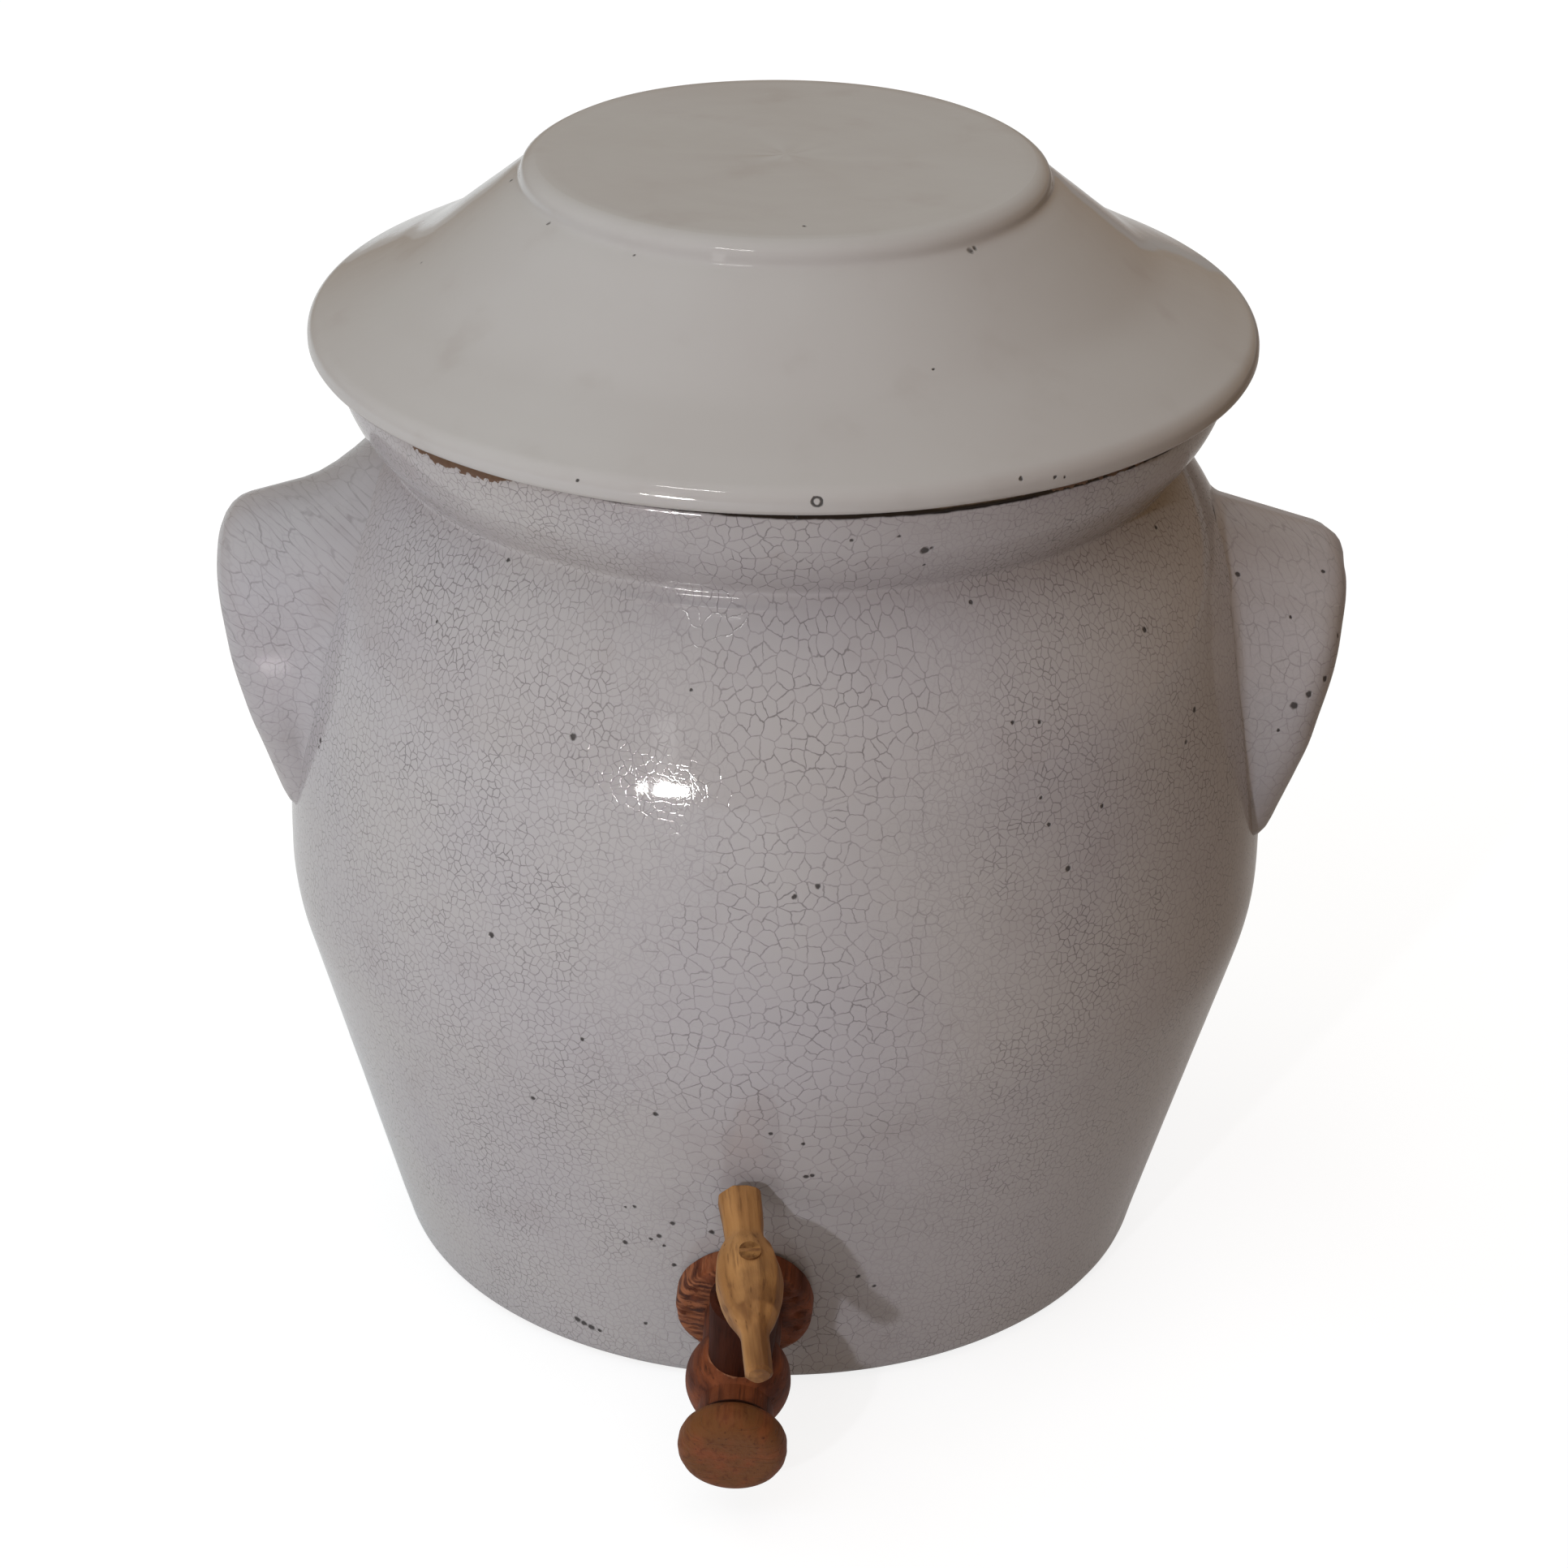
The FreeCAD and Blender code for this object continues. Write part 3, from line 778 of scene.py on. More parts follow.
@dataclass
class Crock:
    """The thrown pot: foot, wall, belly, shoulder, neck, collar and rim."""

    belly_radius: float = 125.2
    belly_height: float = 109.0
    belly_curve: float = 64.0
    wall_angle: float = math.radians(15.5)
    wall_thick: float = 9.0
    floor_thick: float = 12.0
    foot_round: float = 6.2
    floor_round: float = 18.0
    shoulder_curve: float = 375.0
    shoulder_angle: float = math.radians(9.4)
    crown_curve: float = 94.0
    neck_radius: float = 97.2
    collar_radius: float = 110.5
    collar_height: float = 26.6
    collar_curve: float = 42.0
    rim_round: float = 3.4
    mouth_radius: float = 97.5
    mouth_depth: float = 27.564
    around: int = 300
    fine_band: float = 9.0
    swell: float = 0.28
    ripple: float = 0.008
    ripple_pitch: float = 8.6
    dimple: float = 0.05
    bead: float = 0.4
    bead_drop: float = 3.2
    bead_width: float = 0.5
    bead_bearings: tuple[float, float, float] = (-14.0, -4.0, 12.0)
    chip_depth: float = 1.5
    marks_from: float = 60.0
    chips: tuple[tuple[float, float, float], ...] = ((-49.0, -31.0, 4.2), (36.0, 54.0, 3.4))

    def __post_init__(self) -> None:
        """Work out the corners of the section."""
        sine, cosine, slope = math.sin(self.wall_angle), math.cos(self.wall_angle), math.tan(self.wall_angle)
        self.wall_top = (self.belly_radius - self.belly_curve * (1 - cosine),
                         self.belly_height - self.belly_curve * sine)
        self.foot_radius = self.wall_top[0] - self.wall_top[1] * slope
        self.corner = math.tan(math.radians(45.0) - self.wall_angle / 2)
        turn = self.shoulder_angle
        self.shoulder = (self.belly_radius - self.shoulder_curve * (1 - math.cos(turn)),
                         self.belly_height + self.shoulder_curve * math.sin(turn))
        self.crown = (self.shoulder[0] - self.crown_curve * math.cos(turn),
                      self.shoulder[1] - self.crown_curve * math.sin(turn))
        self.neck_height = self.crown_height(self.neck_radius, 0.0)
        self.rim_height = self.neck_height + self.collar_height
        self.throat = self.neck_radius - self.wall_thick
        self.throat_height = self.crown_height(self.throat, self.wall_thick)
        self.throat_slope = (self.mouth_radius - self.throat) / self.mouth_depth

    def crown_height(self, radius: float, inside: float) -> float:
        """Give the crown's height at a radius, on the outside or so far inside it."""
        return self.crown[1] + math.sqrt((self.crown_curve - inside) ** 2 - (radius - self.crown[0]) ** 2)

    def wall_radius(self, height: float) -> float:
        """Give the outside's radius at a height below the neck.

        Args:
            height: The height.

        Returns:
            The radius.
        """
        if height < self.wall_top[1]:
            return self.foot_radius + height * math.tan(self.wall_angle)
        if height < self.belly_height:
            reach, level = self.belly_curve, self.belly_height
            middle = self.belly_radius - reach
        elif height < self.shoulder[1]:
            reach, level = self.shoulder_curve, self.belly_height
            middle = self.belly_radius - reach
        else:
            reach, (middle, level) = self.crown_curve, self.crown
        return middle + math.sqrt(max(reach ** 2 - (height - level) ** 2, 0.0))

    def section(self) -> Section:
        """Draw the half section from the foot's middle round to the floor's middle.

        Returns:
            The drawn section.
        """
        sine, cosine, slope = math.sin(self.wall_angle), math.cos(self.wall_angle), math.tan(self.wall_angle)
        trim = self.foot_round * self.corner
        thick = self.wall_thick
        draw = Section(0.0, 0.0)
        draw.line(self.foot_radius - trim, 0.0, 6)
        draw.arc(self.foot_radius + trim * sine, trim * cosine, self.foot_round, 6)
        draw.line(*self.wall_top, steps=34)
        draw.arc(self.belly_radius, self.belly_height, self.belly_curve, 8)
        draw.arc(*self.shoulder, radius=self.shoulder_curve, steps=32)
        ledge = self.neck_height - self.fine_band
        draw.arc(self.wall_radius(ledge), ledge, self.crown_curve, 22)
        draw.arc(self.neck_radius, self.neck_height, self.crown_curve, 26)
        draw.arc(self.collar_radius, self.rim_height - self.rim_round, self.collar_curve, 20)
        draw.soften((self.neck_radius, self.neck_height), 2.4, 6)
        draw.arc(self.collar_radius - self.rim_round, self.rim_height, self.rim_round, 6)
        draw.line(self.mouth_radius + self.rim_round, self.rim_height, 4)
        draw.arc(self.mouth_radius, self.rim_height - self.rim_round, self.rim_round, 5)
        draw.line(self.throat, self.throat_height, 10)
        turn = self.shoulder_angle
        draw.arc(self.shoulder[0] - thick * math.cos(turn), self.shoulder[1] - thick * math.sin(turn),
                 self.crown_curve - thick, 14, left=False)
        draw.soften((self.throat, self.throat_height), 6.0, 6)
        draw.arc(self.belly_radius - thick, self.belly_height, self.shoulder_curve - thick, 14, left=False)
        draw.arc(self.wall_top[0] - thick * cosine, self.wall_top[1] + thick * sine,
                 self.belly_curve - thick, 6, left=False)
        inner_foot = self.foot_radius + self.floor_thick * slope - thick / cosine
        bend = self.floor_round * self.corner
        draw.line(inner_foot + bend * sine, self.floor_thick + bend * cosine, 16)
        draw.arc(inner_foot - bend, self.floor_thick, self.floor_round, 8, left=False)
        return draw.line(0.0, self.floor_thick, 6)

    def throwing_marks(self, mesh: bmesh.types.BMesh) -> None:
        """Leave the wheel's soft ridges in the wall, and break the rim where it is chipped.

        Args:
            mesh: The pot.
        """
        for vert in mesh.verts:
            radius = math.hypot(vert.co.x, vert.co.y)
            if radius < self.marks_from:
                continue
            height = vert.co.z
            spin = math.atan2(vert.co.x, -vert.co.y)
            ring = Vector((math.sin(spin), math.cos(spin), 0.0))
            swell = self.swell * noise.noise(ring * 1.3 + Vector((0.0, 0.0, height / 55.0)))
            worn = 0.5 + 0.5 * noise.noise(ring * 2.0 + Vector((7.0, 0.0, height / 30.0)))
            ripple = self.ripple * worn * math.sin(math.tau * height / self.ripple_pitch + spin)
            dimple = self.dimple * noise.noise(ring * 9.0 + Vector((0.0, 3.0, height / 11.0)))
            offset = (swell + ripple + dimple) * ease(height, 2.0, 12.0)
            if radius > self.neck_radius and height < self.neck_height:
                below = (height - self.neck_height + self.bead_drop) / self.bead_width
                offset += self.bead * math.exp(-below ** 2) * window(math.degrees(spin), *self.bead_bearings)
            for low, high, depth in self.chips:
                share = window(math.degrees(spin), low, high, 4.0)
                foot = self.rim_height - depth - 1.5
                if share and radius > self.collar_radius - 4.5 and height > foot:
                    flake = 0.5 + 0.5 * noise.noise(Vector((spin * 40.0, height * 0.35, 1.0)))
                    offset -= share * flake * self.chip_depth * ease(height, foot, self.rim_height - 2.0)
            vert.co.xy *= 1.0 + offset / radius

    def build(self, hole: bpy.types.Object) -> bpy.types.Object:
        """Throw the pot and bore the tap's hole.

        Args:
            hole: The shape of the hole, which is used up.

        Returns:
            The pot.
        """
        mesh = self.section().spin(self.around)
        self.throwing_marks(mesh)
        pot = finish_piece(mesh, "crock_pot")
        carve(pot, [hole])
        sharpen(pot, 60.0)
        return pot

    def wear(self) -> Wear:
        """List the pot's pits and chips.

        Returns:
            The marks.
        """
        pits = (
            ((37.7, -100.3, 231.3), 1.5), ((39.2, -99.6, 231.9), 1.0), ((32.0, -104.3, 236.2), 0.6),
            ((21.5, -106.8, 235.9), 0.6), ((89.8, -65.5, 197.6), 0.9), ((-41.3, -108.8, 185.0), 1.1),
            ((-109.2, -55.1, 154.6), 0.9), ((-109.6, -54.6, 152.4), 0.6), ((-14.1, -109.7, 198.5), 0.5),
            ((-61.0, -108.5, 131.9), 0.9), ((73.9, -98.1, 150.3), 0.9), ((10.9, -122.1, 152.8), 0.8),
            ((16.2, -121.2, 155.3), 0.9), ((-38.5, -119.1, 110.8), 0.7), ((-51.5, -110.6, 88.7), 0.8),
            ((-21.1, -121.1, 92.2), 0.9), ((6.4, -121.7, 88.5), 0.7), ((14.0, -120.1, 85.0), 0.7),
            ((59.2, -98.9, 188.2), 0.6), ((66.7, -100.0, 169.6), 0.6), ((-59.3, -79.4, 215.6), 0.7),
            ((-27.1, -110.4, 59.2), 0.7), ((-29.3, -109.6, 58.4), 0.5), ((-17.7, -111.2, 55.3), 0.8),
            ((-8.1, -111.9, 53.7), 0.9), ((-21.2, -109.2, 50.1), 0.9), ((-23.2, -108.4, 48.6), 0.7),
            ((-20.0, -108.6, 47.0), 0.6), ((-29.7, -105.9, 45.8), 0.9), ((-17.6, -107.1, 40.6), 0.8),
            ((27.5, -104.2, 37.7), 0.8), ((31.5, -101.9, 33.5), 0.7), ((-25.3, -98.9, 17.3), 0.7),
            ((14.7, -116.8, 73.8), 0.8), ((16.2, -116.7, 74.2), 0.7), ((-41.6, -91.5, 11.3), 1.1),
            ((-43.4, -91.1, 12.0), 1.3), ((-39.6, -92.1, 10.7), 1.3), ((-37.4, -92.9, 10.3), 0.8),
            ((103.2, -59.9, 174.5), 0.8), ((101.4, -65.0, 168.2), 0.7), ((68.9, -99.9, 162.6), 0.6),
            ((81.3, -90.0, 162.9), 0.7), ((92.2, -41.1, 213.4), 0.7), ((48.7, -88.6, 213.5), 0.7),
            ((65.6, -95.6, 186.9), 0.6),
        )
        return Wear(pits=pits, chipped=self.chips, rim_height=self.rim_height)


@dataclass
class Lug:
    """One ear: an arched slab, pressed and luted to the wall with a soft join."""

    name: str
    node: str
    bearing: float
    rise: float
    reach: float
    join: float
    uneven: float
    radius: float = 40.0
    taper: float = math.radians(14.0)
    foot_drop: float = 34.5
    foot_round: float = 6.0
    lean: float = math.radians(16.7)
    edge: float = 8.5
    crown: float = 0.9
    crown_reach: float = 24.0
    middle: float = 3.0
    turns: int = 6
    rings: int = 9
    flares: int = 6
    sunk: float = 0.35
    wave: float = 0.35

    def frame(self) -> Matrix:
        """Give the ear's own frame: across, up its face, and out of it.

        Returns:
            The frame.
        """
        spin = Matrix.Rotation(math.radians(self.bearing), 4, "Z")
        tilt = Matrix(((0.0, math.sin(self.lean), math.cos(self.lean), self.reach), (1.0, 0.0, 0.0, 0.0),
                       (0.0, math.cos(self.lean), -math.sin(self.lean), self.rise), (0.0, 0.0, 0.0, 1.0)))
        return spin @ tilt

    def outline(self) -> bmesh.types.BMesh:
        """Draw the arched outline as one face in the ear's own plane.

        Returns:
            The outline's mesh.
        """
        side, side_drop = self.radius * math.cos(self.taper), self.radius * math.sin(self.taper)
        foot = side - (self.foot_drop - side_drop) * math.tan(self.taper)
        trim = self.foot_round * math.tan(math.radians(45.0) - self.taper / 2)
        corner = (foot + trim * math.sin(self.taper), trim * math.cos(self.taper) - self.foot_drop)
        draw = Section(trim - foot, -self.foot_drop)
        draw.line(foot - trim, -self.foot_drop, 14)
        draw.arc(*corner, radius=self.foot_round, steps=6)
        draw.line(side, -side_drop, 9)
        draw.arc(0.0, self.radius, self.radius, 28)
        draw.arc(-side, -side_drop, self.radius, 28)
        draw.line(-corner[0], corner[1], 9)
        draw.arc(trim - foot, -self.foot_drop, self.foot_round, 6)
        mesh = draw.mesh
        bmesh.ops.remove_doubles(mesh, verts=mesh.verts, dist=1e-3)
        bmesh.ops.rotate(mesh, verts=mesh.verts, matrix=Matrix.Rotation(math.radians(-90.0), 3, "X"))
        bmesh.ops.contextual_create(mesh, geom=mesh.edges[:])
        bmesh.ops.recalc_face_normals(mesh, faces=mesh.faces)
        face = mesh.faces[:][0]
        if face.normal.z < 0:
            bmesh.ops.reverse_faces(mesh, faces=[face])
        return mesh

    def depth_to_wall(self, crock: Crock, at: Matrix, across: float, up: float) -> float:
        """Measure from the ear's plane back to the pot's wall.

        Args:
            crock: The pot.
            at: The ear's frame.
            across: Where, across the ear.
            up: Where, up its face.

        Returns:
            The depth, less than nothing where the plane is inside the wall.
        """
        low, high = -30.0, 60.0
        for _ in range(40):
            middle = (low + high) / 2
            spot = at @ Vector((across, up, -middle))
            outside = math.hypot(spot.x, spot.y) > crock.wall_radius(spot.z)
            low, high = (middle, high) if outside else (low, middle)
        return low

    def dome(self, mesh: bmesh.types.BMesh) -> None:
        """Round the slab's edge and raise its face a little.

        Args:
            mesh: The outline's mesh.
        """
        face = mesh.faces[:][0]
        for vert in mesh.verts:
            vert.co.z = -self.edge
        last = 0.0
        for step in range(1, self.turns + self.rings + 1):
            if step <= self.turns:
                angle = math.radians(90.0) * step / self.turns
                inset, height = self.edge * (1 - math.cos(angle)), -self.edge * (1 - math.sin(angle))
            else:
                share = (step - self.turns) / self.rings
                inset = self.edge + share * self.crown_reach
                height = self.crown * (1 - (1 - share) ** 2)
            face = bmesh.ops.extrude_discrete_faces(mesh, faces=[face])["faces"][0]
            shrink = (self.radius - inset) / (self.radius - last)
            bmesh.ops.scale(mesh, verts=face.verts, vec=(shrink, shrink, 1.0),
                            space=Matrix.Translation((0.0, self.middle, 0.0)))
            last = inset
            for vert in face.verts:
                vert.co.z = height
        bmesh.ops.poke(mesh, faces=[face])

    def unevenness(self, mesh: bmesh.types.BMesh) -> None:
        """Let the ear's face and edge wander, as pressed clay does.

        Args:
            mesh: The ear, in its own frame.
        """
        for vert in mesh.verts:
            wave = noise.noise(Vector((vert.co.x / 17.0, vert.co.y / 17.0, self.bearing)))
            vert.co.z += self.wave * wave * ease(vert.co.z, -30.0, -4.0)
            rag = noise.noise(Vector((vert.co.x / 9.0, vert.co.y / 9.0, self.bearing + 5.0)))
            out = math.hypot(vert.co.x, vert.co.y)
            if out > 20.0:
                vert.co.xy *= 1.0 + self.uneven * rag * ease(out, 20.0, 32.0) / out

    def build(self, crock: Crock) -> bpy.types.Object:
        """Press the ear and lute it to the pot.

        Args:
            crock: The pot.

        Returns:
            The ear.
        """
        at = self.frame()
        mesh = self.outline()
        rim = [edge for edge in mesh.edges if edge.is_boundary]
        self.dome(mesh)
        self.lute(mesh, rim, crock, at)
        self.unevenness(mesh)
        bmesh.ops.transform(mesh, matrix=at, verts=mesh.verts)
        return finish_piece(mesh, self.name)

    @staticmethod
    def wear() -> Wear:
        """List the ears' pits.

        Returns:
            The marks.
        """
        pits = (
            ((135.9, -9.7, 189.8), 0.8), ((139.8, -20.1, 177.1), 0.8), ((136.8, -27.2, 168.6), 1.0),
            ((132.9, -31.3, 166.1), 1.1), ((129.3, -32.7, 163.5), 1.2), ((114.3, -17.6, 191.7), 0.9),
            ((127.5, -23.1, 183.1), 0.5), ((125.9, -33.0, 156.7), 0.5),
        )
        return Wear(pits=pits)

    def way_out(self, vert: bmesh.types.BMVert, rim: list[bmesh.types.BMEdge]) -> Vector:
        """Give the way out of the ear at one vertex of its rim.

        Args:
            vert: The vertex.
            rim: The edges around the ear's slab.

        Returns:
            The way, in the ear's own plane.
        """
        runs = [edge.other_vert(vert).co - vert.co for edge in rim if vert in edge.verts]
        along = (runs[0].normalized() - runs[1].normalized()).to_2d()
        side = Vector((along.y, -along.x)).normalized()
        return side if side.dot(vert.co.to_2d() - Vector((0.0, -self.middle))) > 0 else -side

    def lute(self, mesh: bmesh.types.BMesh, rim: list[bmesh.types.BMEdge], crock: Crock, at: Matrix) -> None:
        """Draw the ear's edge back to the wall and flare it onto the wall.

        Args:
            mesh: The ear.
            rim: The edges around its slab.
            crock: The pot.
            at: The ear's frame.
        """
        steps = [(share / 6.0, 0) for share in range(1, 6)]
        steps += [(1.0, turn) for turn in range(self.flares + 1)]
        starts = {vert: vert.co.copy() for edge in rim for vert in edge.verts}
        ways = {vert: self.way_out(vert, rim) for vert in starts}
        edges, roots = rim, {vert: vert for vert in starts}
        for share, turn in steps:
            made = bmesh.ops.extrude_edge_only(mesh, edges=edges)["geom"]
            fresh = [item for item in made if isinstance(item, bmesh.types.BMVert)]
            older = {}
            for vert in fresh:
                for edge in vert.link_edges:
                    other = edge.other_vert(vert)
                    if other in roots and other not in fresh:
                        older[vert] = roots[other]
            for vert, root in older.items():
                start, way = starts[root], ways[root]
                room = max(self.depth_to_wall(crock, at, start.x, start.y) - self.edge, 0.6)
                bend = min(self.join, room * 0.6)
                angle = math.radians(90.0) * turn / self.flares
                spread = bend * (1 - math.cos(angle))
                spot = start.to_2d() + way * spread
                if share < 1.0:
                    back = self.edge + share * (room - bend)
                else:
                    wall = self.depth_to_wall(crock, at, spot.x, spot.y)
                    back = max(wall - bend * (1 - math.sin(angle)), self.edge + 0.3)
                    back += self.sunk * turn / self.flares
                vert.co = Vector((spot.x, spot.y, -back))
            roots = older
            edges = [item for item in made if isinstance(item, bmesh.types.BMEdge)]


@dataclass
class Lid:
    """The thrown lid: rolled rim, brim, cone and grip disc, with a flange below."""

    rim_height: float
    throat_slope: float
    radius: float = 116.5
    roll: float = 5.0
    lip_round: float = 1.6
    edge_height: float = 7.15
    brim_angle: float = math.radians(27.2)
    cone_foot: float = 91.7
    cove: float = 60.0
    cone_angle: float = math.radians(39.1)
    grip_radius: float = 64.1
    grip_edge: float = 4.6
    grip_step: float = 3.6
    grip_flare: float = 0.3
    step_rise: float = 1.9
    thick: float = 8.0
    flange_depth: float = 12.0
    flange_thick: float = 9.0
    flange_top: float = 96.0
    around: int = 300
    sway: float = 0.32
    settled: float = 0.3
    ridge: float = 0.02
    ridge_pitch: float = 9.5
    out_of_round: float = 0.3
    lip_lift: float = 0.25
    lip_wave: float = 0.3

    def section(self) -> Section:
        """Draw the half section from the hollow's middle round to the top's middle.

        Returns:
            The drawn section.
        """
        brim, cone, rim = self.brim_angle, self.cone_angle, self.rim_height
        roll_end = (self.radius - self.roll * (1 - math.sin(brim)), rim + self.edge_height)
        foot_height = roll_end[1] + (roll_end[0] - self.cone_foot) * math.tan(brim)
        grip_foot = foot_height + (self.cone_foot - self.grip_radius) * math.tan(cone)
        top = grip_foot + self.grip_edge
        trim = self.cove * math.tan((cone - brim) / 2)
        flange_foot = self.flange_top - self.flange_depth * self.throat_slope
        hollow = flange_foot - self.flange_thick
        hollow_top = top - self.thick
        roof = self.grip_radius - self.thick / math.sin(cone) - (hollow_top - grip_foot) / math.tan(cone)
        eave = grip_foot - self.thick / math.cos(cone) - (hollow - self.grip_radius) * math.tan(cone)
        draw = Section(0.0, hollow_top)
        draw.line(roof, hollow_top, 10)
        draw.line(hollow, eave, 12)
        draw.soften((roof, hollow_top), 5.0, 4)
        draw.line(hollow, rim - self.flange_depth, 8)
        draw.line(flange_foot, rim - self.flange_depth, 5)
        draw.line(self.flange_top, rim, 6)
        draw.line(self.radius - self.lip_round, rim, 8)
        draw.arc(self.radius, rim + self.lip_round, self.lip_round, 5)
        draw.line(self.radius, roll_end[1] - self.roll * math.cos(brim), 2)
        draw.arc(*roll_end, radius=self.roll, steps=10)
        draw.line(self.cone_foot + trim * math.cos(brim), foot_height - trim * math.sin(brim), 14)
        draw.arc(self.cone_foot - trim * math.cos(cone), foot_height + trim * math.sin(cone),
                 self.cove, 10, left=False)
        step = grip_foot - self.grip_step * math.tan(cone)
        draw.line(self.grip_radius + self.grip_step, step, 14)
        draw.line(self.grip_radius + 2 * self.grip_flare, step + self.step_rise, 5)
        draw.line(self.grip_radius + self.grip_flare, top - self.grip_edge, 3)
        draw.arc(self.grip_radius + self.grip_flare - self.grip_edge, top, self.grip_edge, 12)
        draw.soften((self.grip_radius + 1.4, step + 1.2), 3.0, 4)
        draw.soften((self.grip_radius - self.grip_edge, top), 4.0, 4)
        return draw.line(0.0, top, 20)

    def unevenness(self, mesh: bmesh.types.BMesh) -> None:
        """Let the lid be a little out of true, as thrown ware is.

        Args:
            mesh: The lid.
        """
        for vert in mesh.verts:
            radius = math.hypot(vert.co.x, vert.co.y)
            if radius < 2.0:
                continue
            way = vert.co.xy.normalized().to_3d()
            over = ease(vert.co.z, self.rim_height + 2.0, self.rim_height + 8.0)
            sway = self.sway * noise.noise(way * 1.4 + Vector((radius / 45.0, 4.0, 0.0))) - self.settled
            sway += self.ridge * math.sin(math.tau * radius / self.ridge_pitch + way.x)
            vert.co.z += sway * over
            vert.co.xy *= 1.0 + self.out_of_round * noise.noise(way * 1.6) * over / radius
            lip = window(vert.co.z, self.rim_height, self.rim_height + 1.0, 0.6) * ease(radius, 108.0, 111.0)
            wave = max(noise.noise(way * 3.0 + Vector((0.0, 0.0, 9.0))), 0.0)
            vert.co.z += lip * (self.lip_lift + self.lip_wave * wave)

    def build(self) -> bpy.types.Object:
        """Throw the lid.

        Returns:
            The lid.
        """
        mesh = self.section().spin(self.around)
        self.unevenness(mesh)
        lid = finish_piece(mesh, "lid_cover")
        sharpen(lid, 60.0)
        return lid

    def wear(self) -> Wear:
        """List the lid's pits and its blister.

        Returns:
            The marks.
        """
        pits = (
            ((-53.9, -38.0, 283.9), 0.8), ((-31.8, -57.8, 283.9), 0.6), ((7.0, -51.2, 290.0), 0.7),
            ((45.6, -47.6, 284.2), 1.3), ((46.6, -46.2, 284.4), 1.0), ((48.6, -44.0, 284.3), 0.6),
            ((49.6, -42.9, 284.6), 0.7), ((50.0, -42.0, 285.4), 0.5), ((58.7, -100.1, 249.3), 0.7),
            ((-39.7, -109.2, 248.8), 0.5), ((66.3, -95.6, 248.1), 0.6), ((68.5, -94.0, 247.6), 0.5),
        )
        return Wear(pits=pits, rings=(((13.9, -115.6, 248.5), 1.4),))


